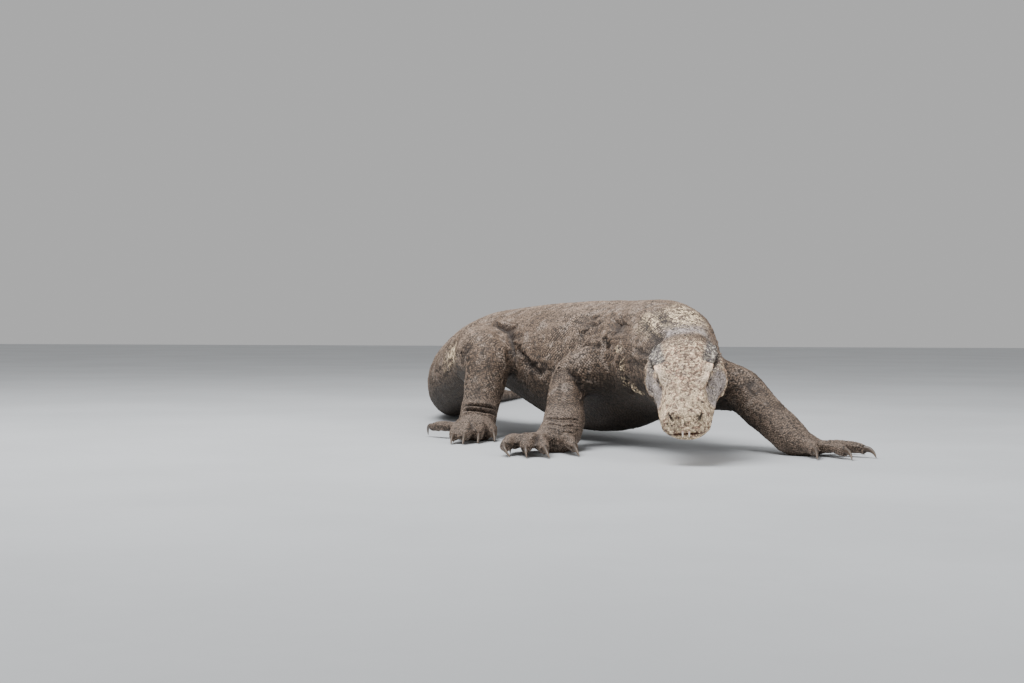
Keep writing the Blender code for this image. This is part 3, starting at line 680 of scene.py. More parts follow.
def work_body(clay):
    """Loose skin, folds and pits of the body, and the feet."""
    head, feet = head_share(clay.co), near_box(clay.co, FEET, FOOT_FADE)
    _, run = near_line(clay.co, in_frame(BACKBONE))
    trunk = (1 - head) * fall(0.70, 0.95, run)
    clay.move(clay.no, 0.0006 * trunk * (1 - feet) * wrinkled(clay.co, (0, 1, 0), 0.030))
    limbs, high = near_box(clay.co, LIMBS, LIMB_FADE), clay.co[:, 2]
    slack = trunk * (1 - feet) * (1 - 0.8 * limbs) * step(0.055, 0.095, high)
    slack *= 1 - 0.7 * step(0.185, 0.215, high)
    furrow = np.clip(1 - np.abs(wrinkled(clay.co, (-1.4, 0.5, 2.6), 0.0085)) * 3.2, 0, 1) ** 2
    clay.move(clay.no, -0.0010 * slack * furrow)
    # painted shade in the furrows of the loose skin
    clay.shade(0.16 * slack * furrow)
    clay.turn()
    # painted shade along each fold, more for deeper ones, and full painted shade in each pit
    for line, *sizes in FOLDS:
        depth, width, bank = tenths(*sizes)
        clay.crease(clay.laid(in_frame(line)), depth, width, bank, shade=np.clip(depth / 0.004, 0, 1))
    for place, *sizes in PITS:
        reach, depth = tenths(*sizes)
        clay.push(clay.laid([in_frame(place)])[0], reach, -depth, shade=1.0)
    clay.turn()
    for limb, foot in (("hand", "fore"), ("foot", "hind")):
        for side in ("right", "left"):
            work_foot(clay, np.array(middle(f"{limb}_{side}")), f"{foot}_{side}")
    clay.turn()


def work_foot(clay, wrist, foot):
    """Knuckles of the toes of one foot, and the furrows between them."""
    toes = [np.array(claw_seat(node)[0]) for node in CLAWS if foot in node]
    for toe in toes:
        back = wrist - toe
        back[2] = 0
        back /= max(np.linalg.norm(back), 1e-9)
        for behind, above, reach in ((0.010, 0.002, 0.012), (0.034, 0.006, 0.011)):
            clay.push(toe + back * behind + (0, 0, above), reach, 0.0016)
    toes.sort(key=lambda toe: math.atan2(*(toe - wrist)[:2]))
    for one, other in zip(toes[:-1], toes[1:]):
        if np.linalg.norm(one - other) > TOES_APART:
            continue
        tip = (one + other) / 2
        root = wrist + (tip - wrist) * 0.42
        furrow = [tip + (0, 0, 0.006), (tip + root) / 2 + (0, 0, 0.012), root + (0, 0, 0.012)]
        # painted shade along the furrow between two toes
        clay.crease(clay.laid(furrow), 0.0040, 0.0034, bank=0.0012, shade=0.9)


def lean_crown(clay):
    """Leans the upper head towards its right, as its own middle does."""
    along, _, up = to_head(clay.co)
    share = step(0.006, 0.030, up) * step(0.02, 0.06, along) * head_share(clay.co)
    clay.move(-np.array(LEFT), MIDDLE_LEAN * np.clip(along, 0, LEAN_END) * share)
    clay.turn()


def eye_axes(side):
    """Directions along the slit of the lids, across it, and straight out of it."""
    back, left, lift = np.array(BACK), np.array(LEFT), np.array(LIFT)
    run = back * 0.909 + lift * 0.341 + left * side * 0.239
    run /= np.linalg.norm(run)
    face = left * side * 0.93 - back * 0.30 - lift * 0.04
    face -= run * (face @ run)
    face /= np.linalg.norm(face)
    rise = np.cross(face, run)
    return run, rise * np.sign(rise @ lift), face


def at_eye(clay, side):
    """Every place seen from the eye: away from its middle, how far outward, and how far from that line."""
    away, face = clay.co - eye_seat(side), eye_axes(side)[2]
    height = away @ face
    return away, height, np.linalg.norm(away - height[:, None] * face, axis=1)


def work_eyes(clay):
    """Lids drawn over the eyeball in its socket, in a shallow bowl under the brow."""
    for side in SIDES:
        _, height, flat = at_eye(clay, side)
        face = eye_axes(side)[2]
        near = (height > -0.004) & (height < 0.022)
        wanted = np.maximum(np.sqrt(np.clip((EYEBALL + 0.0008) ** 2 - flat**2, 0, None)), 0.0060)
        share = fall(0.0090, 0.0170, flat) * near * step(0.10, 0.50, clay.no @ face)
        share *= fall(0.0405, 0.0440, head_plan(clay.co)[2])
        clay.move(face, (wanted - height) * share)
        clay.turn()


def part_lids(clay, side):
    """Cuts the slit between the lids and the fine creases round it."""
    run, rise, face = eye_axes(side)
    away, height, flat = at_eye(clay, side)
    near = (height > 0) & (height < 0.016) & (flat < 0.0125)
    x, y = away @ run / EYEBALL, away @ rise / EYEBALL
    bend = np.sqrt(np.clip(1 - (x / 1.02) ** 2, 0, 1))
    part = step(0.0, 0.10, 0.30 * bend - np.abs(y)) * near
    clay.move(-face, part * 0.0046)
    # painted shade in the slit between the lids and round it
    clay.shade(part)
    clay.shade(0.75 * step(0.0, 0.25, 0.52 * bend - np.abs(y)) * near)
    for offset in (0.62, -0.58):
        line = bell(y - offset * bend, 0.08) * near * (bend > 0)
        clay.move(-face, line * 0.0008)
        # painted shade along the fine creases of the lids
        clay.shade(0.5 * line)
    clay.turn()


def flatten_crown(clay):
    """A broad flat plate over the eyes, widest at the corners of the brows."""
    lift = np.array(LIFT)
    along, out, up = head_plan(clay.co)
    aside = np.abs(out)
    top = np.interp(along, *CROWN_HIGH) - 0.0030 * (aside / 0.044) ** 2
    soft = 0.0030 + 0.18 * np.clip(along - 0.118, 0, 0.05)
    plate = fall(-soft, soft, aside - np.interp(along, *CROWN_EDGE)) * step(-0.1, 0.3, clay.no @ lift)
    plate *= step(0.02, 0.06, along) * fall(0.15, 0.20, along)
    clay.move(lift, np.clip(top - up, 0, 0.008) * plate)
    clay.turn()


def raise_brow(clay, side):
    """A smooth rim that overhangs the eye and ends in a corner."""
    gap, _ = near_line(clay.co, head_line(BROW, side))
    reach = np.linalg.norm(clay.co - eye_seat(side), axis=1)
    over = bell(gap, 0.0056) * step(EYEBALL + 0.0012, EYEBALL + 0.0034, reach)
    jut = 0.0008 + 0.0032 * step(0.100, 0.120, head_plan(clay.co)[0])
    clay.co += (np.array(LEFT) * side * jut[:, None] + np.array(LIFT) * 0.0014) * over[:, None]
    clay.turn()
    clay.soften(fall(0.012, 0.020, reach), 4)


def open_mouth(clay):
    """The gap between the lips at the front, red inside."""
    line = head_line(LIPS[3::-1], -1) + head_line(LIPS[1:4], 1)
    clay.crease(line, -0.0010, 0.0048, fade=0.1)
    gap, run = near_line(clay.co, line)
    total = length_of(line)
    share = step(0.0, 0.35 * total, run) * step(0.0, 0.35 * total, total - run)
    gape = bell(gap, 0.0009 + 0.0010 * share, power=4)
    clay.move(np.array(BACK), (0.0018 + 0.0070 * share) * gape)
    clay.red = np.clip(1.6 * gape * step(0.05, 0.5, share), 0, 1)
    clay.turn()


def work_head(clay):
    """Crown, brows, lids, temples, cheeks, ears, lips and nostrils."""
    flatten_crown(clay)
    for side in SIDES:
        raise_brow(clay, side)
        part_lids(clay, side)
        for kind, *row in HEAD_WORK:
            if kind == "turn":
                clay.turn()
                continue
            line, (depth, width, bank), (fade, shade) = head_line(row[0], side), tenths(*row[1:4]), row[4:]
            if kind in ("laid", "pit"):
                line = clay.laid(line)
            if kind in ("laid", "free"):
                clay.crease(line, depth, width, bank, fade, shade)
                continue
            if kind == "pit":
                clay.push(line[0], PIT_RIM, bank)
            clay.push(line[0], width, -depth, shade)
    clay.turn()
    open_mouth(clay)


def chart(skin, dark, red):
    """Marks on the skin which region each place belongs to, and how it is coloured."""
    co, no = places_of(skin), normals_of(skin)
    _, run = near_line(co, in_frame(BACKBONE))
    head, foot = head_share(co), near_box(co, FEET, 0.014)
    limb = np.maximum(near_box(co, LIMBS, 0.01), foot)
    marks = {name: np.zeros(len(co)) for name in REGIONS + TINTS}
    marks["face"], marks["foot"], marks["red"] = head, foot, red
    marks["under"] = step(0.15, 0.6, -no[:, 2]) * (1 - head) * (1 - foot)
    marks["tail"] = step(TAIL_START, TAIL_START + 0.15, run) * (1 - limb)
    marks["nape"] = step(0.10, 0.0, run) * (1 - head) * (1 - limb)
    for kind, line, *fades in PATCHES:
        gap, _ = near_line(co, in_frame(line))
        marks[kind] = np.maximum(marks[kind], fall(*tenths(*fades), gap))

    along, out, up = head_plan(co)
    aside = np.abs(out)
    mirrored = np.stack([along, aside, up], 1)

    def near(points, close, far):
        return fall(close, far, near_line(mirrored, points)[0]) * (along < 0.24)

    cheek, temple = near(CHEEK, 0.013, 0.023), near(TEMPLE, 0.012, 0.021)
    lip, nose = near(LIPS, 0.0014, 0.0030), near(NOSTRIL, 0.0020, 0.0034)
    outward = step(0.25, 0.60, (no @ np.array(LEFT)) * np.sign(out))
    lid = outward * fall(0.0100, 0.0125, np.linalg.norm(mirrored - EYE_SEAT, axis=1))
    rim, _ = near_line(mirrored, BROW)
    rim_reach = np.where(np.interp(along, BROW[:, 0], BROW[:, 1]) > aside, 0.0135, 0.0072)
    brow = fall(0.25, 1.0, rim / rim_reach) * step(0.0325, 0.0350, up) * head
    bare_rim = near(BROW, 0.0026, 0.0034) * step(0.0335, 0.0360, up)
    snout = 0.55 * head * fall(0.05, 0.09, along) * (1 - cheek)
    marks["grey"] = np.maximum(marks["grey"], np.maximum(cheek, lid) * (1 - brow))
    marks["slate"] = temple * (1 - brow)
    marks["brow"] = brow
    marks["cream"] = np.maximum(marks["cream"], snout)
    # painted shade from the patches and creases, in the nostrils, along the line between the lips, and at
    # half strength on the lids
    marks["dark"] = np.maximum.reduce([marks["dark"], dark, nose, 0.8 * lip, 0.5 * lid])
    marks["bare"] = np.maximum.reduce([bare_rim, lid, nose, step(0.2, 0.5, red)])
    marks["low"] = np.maximum(np.maximum(cheek, temple) * 0.8, brow)
    for name, values in marks.items():
        mark(skin, name, np.clip(values, 0, 1))


# ---------------------------------------------------------------- coat


def front(co, tri, cost, start):
    """When a front that leaves one vertex reaches each of the others, if it takes cost to go a metre."""
    count = len(co)
    corner = np.concatenate([tri, tri[:, [1, 2, 0]], tri[:, [2, 0, 1]]])
    c, a, b = corner.T
    to_a, to_b = co[a] - co[c], co[b] - co[c]
    aa, bb, ab = ((x * y).sum(1) for x, y in ((to_a, to_a), (to_b, to_b), (to_a, to_b)))
    area = np.maximum(aa * bb - ab * ab, 1e-18)
    owner = np.concatenate([a, b])
    order = np.argsort(owner, kind="stable")
    first = np.searchsorted(owner[order], np.arange(count + 1)).tolist()
    used = np.tile(np.arange(len(c)), 2)[order].tolist()
    c, a, b = c.tolist(), a.tolist(), b.tolist()
    long_a, long_b = np.sqrt(aa).tolist(), np.sqrt(bb).tolist()
    q_a, q_m, q_b = (bb / area).tolist(), (-ab / area).tolist(), (aa / area).tolist()
    cost = cost.tolist()
    reached = [math.inf] * count
    done = bytearray(count)
    reached[start] = 0.0
    queue = [(0.0, start)]
    while queue:
        _, here = heapq.heappop(queue)
        if done[here]:
            continue
        done[here] = 1
        for k in used[first[here] : first[here + 1]]:
            goal = c[k]
            if done[goal]:
                continue
            i, j = a[k], b[k]
            at_i, at_j, price = reached[i], reached[j], cost[goal]
            best = min(at_i + price * long_a[k], at_j + price * long_b[k])
            if done[i] and done[j]:
                qa, qm, qb = q_a[k], q_m[k], q_b[k]
                whole = qa + 2 * qm + qb
                half = at_i * (qa + qm) + at_j * (qm + qb)
                rest = at_i * at_i * qa + 2 * at_i * at_j * qm + at_j * at_j * qb - price * price
                inside = half * half - whole * rest
                if inside >= 0:
                    try_at = (half + math.sqrt(inside)) / whole
                    if (
                        qa * (at_i - try_at) + qm * (at_j - try_at) <= 0
                        and qm * (at_i - try_at) + qb * (at_j - try_at) <= 0
                    ):
                        best = min(best, try_at)
            if best < reached[goal]:
                reached[goal] = best
                heapq.heappush(queue, (best, goal))
    return np.array(reached)


def roots(co, tri, rows_at, pitch, high):
    """Places of the scales: rows a pitch apart, each row parted evenly. Gives triangle, corner shares."""
    f = rows_at[tri]
    low, top = f.min(1), f.max(1)
    tris, levels = [], []
    for extra in range(int((top - low).max()) + 2):
        level = np.floor(low) + 1 + extra
        ok = level < top
        tris.append(np.nonzero(ok)[0])
        levels.append(level[ok])
    tris, levels = np.concatenate(tris), np.concatenate(levels)
    f = f[tris] - levels[:, None]
    f[f == 0] = 1e-9
    ends = []
    for i, j in ((0, 1), (1, 2), (2, 0)):
        crossed = f[:, i] * f[:, j] < 0
        share = np.where(crossed, f[:, i] / np.where(crossed, f[:, i] - f[:, j], 1), 0)
        ends.append((crossed, share, i, j))
    count = len(co)
    keys = np.full((len(tris), 2), -1, np.int64)
    shares = np.zeros((len(tris), 2, 3))
    filled = np.zeros(len(tris), int)
    for crossed, share, i, j in ends:
        at = np.nonzero(crossed)[0]
        which = filled[at]
        v, w = tri[tris[at], i].astype(np.int64), tri[tris[at], j].astype(np.int64)
        edge = np.minimum(v, w) * count + np.maximum(v, w)
        keys[at, which] = edge * MOST_ROWS + levels[at].astype(np.int64)
        shares[at, which, i] = 1 - share[at]
        shares[at, which, j] = share[at]
        filled[at] += 1
    whole = filled == 2
    tris, keys, shares, levels = tris[whole], keys[whole], shares[whole], levels[whole]
    _, node = np.unique(keys.ravel(), return_inverse=True)
    node = node.reshape(-1, 2)
    spots = np.einsum("nek,nkx->nex", shares, co[tri[tris]])
    length = np.linalg.norm(spots[:, 1] - spots[:, 0], axis=1)
    steps = length / np.einsum("nek,nk->n", shares, pitch[tri[tris]]) * 2
    height = np.einsum("nek,nk->ne", shares, high[tri[tris]])

    links = [[] for _ in range(node.max() + 1)]
    pairs = node.tolist()
    for k, (p, q) in enumerate(pairs):
        links[p].append(k)
        links[q].append(k)
    seen = bytearray(len(pairs))
    found_tri, found_share = [], []
    for begin in range(len(pairs)):
        if seen[begin]:
            continue
        chain, flips, here = [], [], pairs[begin][0]
        k = begin
        while not seen[k]:
            seen[k] = 1
            flip = pairs[k][0] != here
            chain.append(k)
            flips.append(flip)
            here = pairs[k][0] if flip else pairs[k][1]
            onward = [n for n in links[here] if not seen[n]]
            if not onward:
                break
            k = onward[0]
        chain, flips = np.array(chain), np.array(flips)
        turn = int(height[chain].mean(1).argmax())
        chain, flips = np.roll(chain, -turn), np.roll(flips, -turn)
        run = np.concatenate([[0], np.cumsum(steps[chain])])
        number = int(round(run[-1]))
        if number < SHORTEST_ROW:
            continue
        offset = 0.5 * (int(levels[begin]) % 2)
        at = (np.arange(number) + offset) * run[-1] / number
        seat = np.clip(np.searchsorted(run, at, side="right") - 1, 0, len(chain) - 1)
        part = np.clip((at - run[seat]) / np.maximum(run[seat + 1] - run[seat], 1e-9), 0, 1)
        part = np.where(flips[seat], 1 - part, part)
        seat = chain[seat]
        found_tri.append(tris[seat])
        found_share.append(shares[seat, 0] * (1 - part)[:, None] + shares[seat, 1] * part[:, None])
    return np.concatenate(found_tri), np.concatenate(found_share)


def one_scale():
    """A low dome with its rim sunk, one unit across: the form that every scale is copied from."""
    form = added(
        bpy.ops.mesh.primitive_circle_add, "scale", vertices=SCALE_SIDES, radius=0.5, fill_type="NGON"
    )
    with editing(form):
        bpy.ops.mesh.extrude_region_move(TRANSFORM_OT_translate={"value": (0, 0, 1)})
        bpy.ops.transform.resize(value=(SCALE_TOP, SCALE_TOP, 1))
    co = places_of(form)
    # every second edge of the top shrinks to a corner
    top = np.nonzero(co[:, 2] > 0.5)[0]
    top = top[np.argsort(np.arctan2(co[top, 1], co[top, 0]))]
    merged = {}
    for kept, gone in zip(top[::2], top[1::2]):
        merged[gone] = kept
        co[kept] = (co[kept] + co[gone]) / 2
    faces = []
    for p in form.data.polygons:
        if p.normal.z < -0.9:
            continue
        ring = [merged.get(v, v) for v in p.vertices]
        ring = [v for n, v in enumerate(ring) if v != ring[n - 1]]
        faces += [(ring[0], ring[n], ring[n + 1]) for n in range(1, len(ring) - 1)]
    bpy.data.objects.remove(form)
    used, faces = np.unique(np.array(faces), return_inverse=True)
    return co[used], faces.reshape(-1, 3)


def row_lie(co, tri, rows_at):
    """Way ahead from row to row at every vertex, longer where rows are dense, and triangle normals."""
    edge_a, edge_b = co[tri[:, 1]] - co[tri[:, 0]], co[tri[:, 2]] - co[tri[:, 0]]
    flat = np.cross(edge_a, edge_b)
    area = np.maximum((flat**2).sum(1), 1e-20)[:, None]
    more_a, more_b = ((rows_at[tri[:, k]] - rows_at[tri[:, 0]])[:, None] for k in (1, 2))
    slope = (more_a * np.cross(edge_b, flat) + more_b * np.cross(flat, edge_a)) / area
    weight = np.sqrt(area)

    def gathered(values):
        return np.bincount(tri.ravel(), np.repeat(values, 3), len(co))

    lie = np.stack([gathered(part) for part in (slope * weight).T], 1)
    return lie / gathered(weight[:, 0])[:, None], flat


def unit(v):
    return v / np.maximum(np.linalg.norm(v, axis=1), 1e-12)[:, None]


def nearest_nodes(places):
    """Name of the flesh solid that lies nearest to each place."""
    corners = [places_of(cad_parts[node]) for node in FLESH]
    names = [node for node, co in zip(FLESH, corners) for _ in co]
    tree = KDTree(len(names))
    for k, spot in enumerate(np.concatenate(corners)):
        tree.insert(spot, k)
    tree.balance()
    return np.array([names[tree.find(spot)[1]] for spot in places])


def scale_pitch(masks, settings):
    """Distance between scales over the skin: smallest on the face and feet, largest below."""
    pitch = np.full(len(masks["face"]), settings.body)
    for name, size in (
        ("tail", settings.tail), ("under", settings.under), ("nape", settings.nape),
        ("face", settings.face), ("foot", settings.feet),
    ):
        pitch = pitch + (size - pitch) * masks[name]
    return pitch


def scale_rise(masks):
    """Height of a scale as a share of its width."""
    rise = 0.29 - 0.06 * masks["under"]
    rise = rise + (0.19 - rise) * masks["face"]
    return rise * (1 - 0.45 * masks["low"]) * (1 - 0.35 * masks["dark"])


def scatter_scales(skin, settings):
    """Sets a scale at every root of the skin and joins them by region."""
    co, no = places_of(skin), normals_of(skin)
    tri, loops = triangles_of(skin)
    masks = {name: read_mark(skin, name) for name in REGIONS + TINTS}
    pitch = scale_pitch(masks, settings)
    start = int(np.linalg.norm(co - np.array(head_point(0.0, 0.0, 0.008)), axis=1).argmin())
    rows_at = evened(front(co, tri, 1 / (pitch * ROW_GAP), start), tri, 3)
    lie, flat = row_lie(co, tri, rows_at)
    # where the rows spread or crowd, the scales grow or shrink with them
    dense = evened(np.linalg.norm(lie, axis=1), tri, 2)
    pitch = np.clip(1 / (dense * ROW_GAP), LEAST * pitch, MOST * pitch)
    found, share = roots(co, tri, rows_at, pitch, co[:, 2])

    def at_roots(values, corners=tri):
        return np.einsum("nk,nk...->n...", share, values[corners[found]])

    keep = at_roots(masks["bare"]) < 0.5
    found, share = found[keep], share[keep]
    root_uv = at_roots(read(skin.data.uv_layers["OFBake"].data, "uv", 2), loops)
    place, up, ahead, size = at_roots(co), at_roots(no), at_roots(lie), at_roots(pitch)
    up = unit(SURFACE_SHARE * unit(up) + (1 - SURFACE_SHARE) * unit(flat[found]))
    ahead = unit(ahead - up * (ahead * up).sum(1)[:, None])
    side = np.cross(ahead, up)
    masks = {name: at_roots(values) for name, values in masks.items()}

    dice = np.random.default_rng(FIRST_SEED)
    count = len(size)
    uneven = UNEVEN + UNEVEN_FACE * masks["face"]
    for way in (side, ahead):
        place = place + way * (size * uneven * dice.normal(size=count))[:, None]
    wide, deep = (
        size * part * (1 + 0.5 * uneven * dice.normal(size=count)) for part in (SCALE_WIDE, SCALE_LONG)
    )
    rise = size * scale_rise(masks) * (1 + 0.22 * dice.normal(size=count)).clip(0.5, 1.6)
    masks["tone"] = dice.random(count)
    twist = dice.random(count) * math.tau / SCALE_SIDES

    form, faces = one_scale()
    cos, sin = np.cos(twist)[:, None], np.sin(twist)[:, None]
    across, onward = form[:, 0] * cos - form[:, 1] * sin, form[:, 0] * sin + form[:, 1] * cos
    high = np.where(form[:, 2] > 0.5, TOP_AT, RIM_AT) * rise[:, None]
    body = place[:, None]
    for way, far in ((side, across * wide[:, None]), (ahead, onward * deep[:, None]), (up, high)):
        body = body + way[:, None] * far[..., None]
    body[..., 2] = np.maximum(body[..., 2], GROUND_GAP)
    flat_uv = root_uv[:, None] + form[None, :, :2] * SCALE_PATCH

    owners = nearest_nodes(place)
    for name, nodes in COATS.items():
        chosen = np.nonzero(np.isin(owners, nodes))[0]
        values = {mask: masks[mask][chosen] for mask in ("tone", *TINTS)}
        yield coat_piece(name, body[chosen], flat_uv[chosen], faces, form[:, 2].clip(0, 1), values)


def coat_piece(name, body, flat_uv, faces, tip, values):
    """One piece of many scales, from their points, their UV places and the triangles of one scale."""
    count, points = body.shape[:2]
    if count * len(faces) >= TRIANGLE_LIMIT:
        raise RuntimeError(f"{name} has {count * len(faces)} triangles, over its limit")
    mesh = bpy.data.meshes.new(name)
    corners = (faces[None] + np.arange(count)[:, None, None] * points).reshape(-1, 3)
    mesh.vertices.add(count * points)
    mesh.vertices.foreach_set("co", body.ravel())
    mesh.loops.add(corners.size)
    mesh.loops.foreach_set("vertex_index", corners.ravel().astype(np.int32))
    mesh.polygons.add(len(corners))
    mesh.polygons.foreach_set("loop_start", np.arange(0, corners.size, 3, dtype=np.int32))
    mesh.update()
    mesh.validate()
    piece = bpy.data.objects.new(name, mesh)
    bpy.context.scene.collection.objects.link(piece)
    layer = mesh.uv_layers.new(name="OFBake")
    layer.data.foreach_set("uv", flat_uv.reshape(-1, 2)[corners.ravel()].ravel())
    # height within each scale, by which the hide paints shade down its sides
    mark(piece, "tip", np.tile(tip, count))
    for mask, shares in values.items():
        mark(piece, mask, np.repeat(shares, points))
    smooth(piece)
    return piece


# ---------------------------------------------------------------- finishes


class Graph:
    """Adds nodes to a tree: numbers and colours are set, sockets are linked."""

    def __init__(self, tree):
        self.tree = tree

    def add(self, kind, inputs=(), **values):
        node = self.tree.nodes.new(kind)
        for name, value in values.items():
            setattr(node, name, value)
        self.feed(node, inputs)
        return node

    def feed(self, node, inputs):
        for key, value in dict(inputs).items():
            socket = node.inputs[key]
            if isinstance(value, bpy.types.NodeSocket):
                self.tree.links.new(value, socket)
            elif socket.type == "RGBA":
                socket.default_value = (*value, 1.0)
            else:
                socket.default_value = value

    def math(self, what, a, b=0.0, c=0.0):
        return self.add("ShaderNodeMath", {0: a, 1: b, 2: c}, operation=what).outputs[0]

    def times(self, a, b):
        return self.math("MULTIPLY", a, b)

    def blend(self, share, a, b, how="MIX"):
        node = self.add("ShaderNodeMix", data_type="RGBA", blend_type=how, clamp_factor=True)
        self.feed(node, {0: share, 6: a, 7: b})
        return node.outputs[2]

    def span(self, value, low, high, start=0.0, end=1.0):
        inputs = {0: value, 1: low, 2: high, 3: start, 4: end}
        return self.add("ShaderNodeMapRange", inputs, interpolation_type="SMOOTHSTEP").outputs[0]

    def mottle(self, colour, *layers):
        """Lays colours over one another, each where a noise rises through a span."""
        for speckle, low, high, over in layers:
            colour = self.blend(self.span(speckle, low, high), colour, over)
        return colour

    def dim(self, colour, amount):
        grey = self.add("ShaderNodeCombineColor", {0: amount, 1: amount, 2: amount}).outputs[0]
        return self.blend(1.0, colour, grey, "MULTIPLY")

    def place(self):
        return self.add("ShaderNodeTexCoord").outputs["Object"]

    def speckle(self, scale, detail=2.0, rough=0.5):
        inputs = {"Vector": self.place(), "Scale": scale, "Detail": detail, "Roughness": rough}
        return self.add("ShaderNodeTexNoise", inputs).outputs["Fac"]

    def bump(self, strength, distance, height):
        inputs = {"Strength": strength, "Distance": distance, "Height": height}
        return self.add("ShaderNodeBump", inputs).outputs["Normal"]

    def mark(self, name):
        return self.add("ShaderNodeAttribute", attribute_name=name).outputs["Fac"]


def sheet(name):
    """A new material with its graph and its surface shader."""
    material = bpy.data.materials.new(name)
    material.use_nodes = True
    return material, Graph(material.node_tree), material.node_tree.nodes["Principled BSDF"]


def new_group(name, numbers, colours, outputs):
    """A node group with number and colour inputs: the group, its graph, its way in and its way out."""
    group = bpy.data.node_groups.new(name, "ShaderNodeTree")
    for label in numbers:
        group.interface.new_socket(name=label, in_out="INPUT", socket_type="NodeSocketFloat")
    for label, value in colours.items():
        socket = group.interface.new_socket(name=label, in_out="INPUT", socket_type="NodeSocketColor")
        socket.default_value = (*value, 1.0)
    for label, kind in outputs.items():
        group.interface.new_socket(name=label, in_out="OUTPUT", socket_type=kind)
    graph = Graph(group)
    return group, graph, graph.add("NodeGroupInput").outputs, graph.add("NodeGroupOutput")


def hide_tones(settings):
    """Colour with its painted shade, roughness and fine relief of the hide, from the marks kept on skin and
    scales.
    """
    tones = ("Back", "Gap", "Belly", "Crown", "Cheek", "Cream", "Brow", "Feet", "Mouth")
    group, g, i, outlet = new_group(
        "Dragon Hide",
        ["Tip", "Tone"] + [name.capitalize() for name in TINTS],
        {name + " Colour": getattr(settings, name.lower()) for name in tones},
        {"Color": "NodeSocketColor", "Roughness": "NodeSocketFloat", "Height": "NodeSocketFloat"},
    )
    broad, patchy, fine = g.speckle(9.0, 3.0), g.speckle(46.0, 4.0, 0.6), g.speckle(240.0, 3.0, 0.6)
    blotchy, spotty = g.speckle(75.0, 3.0, 0.6), g.speckle(190.0, 3.0, 0.65)
    # backs of the scales: brown grey, drifting warmer and cooler
    back = g.mottle(
        i["Back Colour"], (broad, 0.38, 0.62, (0.172, 0.115, 0.078)),
        (patchy, 0.50, 0.66, (0.275, 0.214, 0.172)), (patchy, 0.47, 0.34, (0.112, 0.075, 0.052)),
    )
    # downward faces take the dark belly colour: partly the belly's own colour, partly painted shade
    back = g.blend(g.times(i["Under"], 0.93), back, i["Belly Colour"])
    back = g.blend(g.times(i["Foot"], 0.80), back, i["Feet Colour"])
    # lighter towards the top and darker towards the bottom: painted shade low down and dust higher up, but
    # not on the face
    height = g.add("ShaderNodeSeparateXYZ", {0: g.place()}).outputs["Z"]
    height = g.math("MULTIPLY_ADD", g.math("SUBTRACT", patchy, 0.5), 0.12, height)
    back = g.dim(back, g.math("MAXIMUM", g.span(height, 0.03, 0.235, 0.58, 1.04), i["Face"]))
    # head: blotches of cream, rose and grey over a warm ground
    crown = g.mottle(
        i["Crown Colour"],
        (blotchy, 0.46, 0.60, (0.560, 0.330, 0.220)), (blotchy, 0.44, 0.34, (0.330, 0.260, 0.220)),
        (spotty, 0.51, 0.56, i["Cream Colour"]), (spotty, 0.49, 0.44, (0.190, 0.125, 0.085)),
    )
    cheek = g.mottle(
        i["Cheek Colour"],
        (spotty, 0.48, 0.60, (0.230, 0.200, 0.190)), (blotchy, 0.56, 0.66, (0.560, 0.490, 0.410)),
    )
    temple = g.mottle((0.120, 0.115, 0.120), (spotty, 0.50, 0.58, (0.600, 0.560, 0.480)))
    brow = g.mottle(i["Brow Colour"], (patchy, 0.45, 0.65, (0.84, 0.58, 0.42)))
    flecks = g.times(i["Cream"], g.span(g.speckle(120.0), 0.46, 0.53))
    for share, colour in (
        (i["Face"], crown), (g.times(i["Grey"], 0.90), cheek), (g.times(i["Slate"], 0.85), temple),
        (flecks, i["Cream Colour"]), (i["Brow"], brow),
    ):
        back = g.blend(share, back, colour)
    # every scale has a tone of its own, a few are dark, and the head has deeper drifts
    shade = g.math("MULTIPLY_ADD", i["Tone"], 1.15, 0.44)
    shade = g.times(shade, g.span(i["Tone"], 0.035, 0.055, 0.42, 1.0))
    shade = g.times(shade, g.span(fine, 0.30, 0.70, 0.84, 1.14))
    drift = g.times(i["Face"], g.span(patchy, 0.42, 0.62, -0.30, 0.12))
    back = g.dim(back, g.math("MULTIPLY_ADD", shade, drift, shade))
    # gaps between the scales and the lower sides of each scale take the gap colour, paler on the face:
    # partly the darker skin there, partly painted shade; then painted shade in creases, and the inside of
    # the mouth
    gap = g.blend(i["Face"], i["Gap Colour"], g.blend(0.50, back, (0.060, 0.040, 0.028)))
    top = g.span(i["Tip"], 0.20, 0.74)
    tone = g.blend(top, gap, back)
    tone = g.blend(g.times(i["Dark"], 0.86), tone, (0.018, 0.012, 0.010))
    rough = g.math("ADD", g.math("MULTIPLY_ADD", top, -0.20, 0.84), g.span(fine, 0.3, 0.7, -0.06, 0.06))
    g.feed(outlet, {
        "Color": g.blend(i["Red"], tone, i["Mouth Colour"]),
        "Roughness": g.math("SUBTRACT", rough, g.times(i["Red"], 0.35)),
        "Height": g.math("MULTIPLY_ADD", fine, 0.6, g.times(g.speckle(1500.0, 3.0, 0.6), 0.4)),
    })
    return group


def hide_finish(name, settings, on_scales):
    """The hide as a material: of the scales, or of the skin that shows between them."""
    material, g, shader = sheet(name)
    group = bpy.data.node_groups.get("Dragon Hide") or hide_tones(settings)
    marks = {tint.capitalize(): g.mark(tint) for tint in TINTS}
    if on_scales:
        marks.update(Tip=g.mark("tip"), Tone=g.mark("tone"))
    else:
        # on the skin only bare places take the scale colour; elsewhere it takes the gap colour, partly
        # painted shade between the scales
        marks.update(Tip=g.mark("bare"), Tone=g.span(g.speckle(700.0, 1.0), 0.3, 0.7, 0.35, 0.75))
    hide = g.add("ShaderNodeGroup", node_tree=group)
    g.feed(hide, marks)
    g.feed(shader, {
        "Base Color": hide.outputs["Color"], "Roughness": hide.outputs["Roughness"],
        "Normal": g.bump(0.35, 0.0006, hide.outputs["Height"]),
    })
    return material


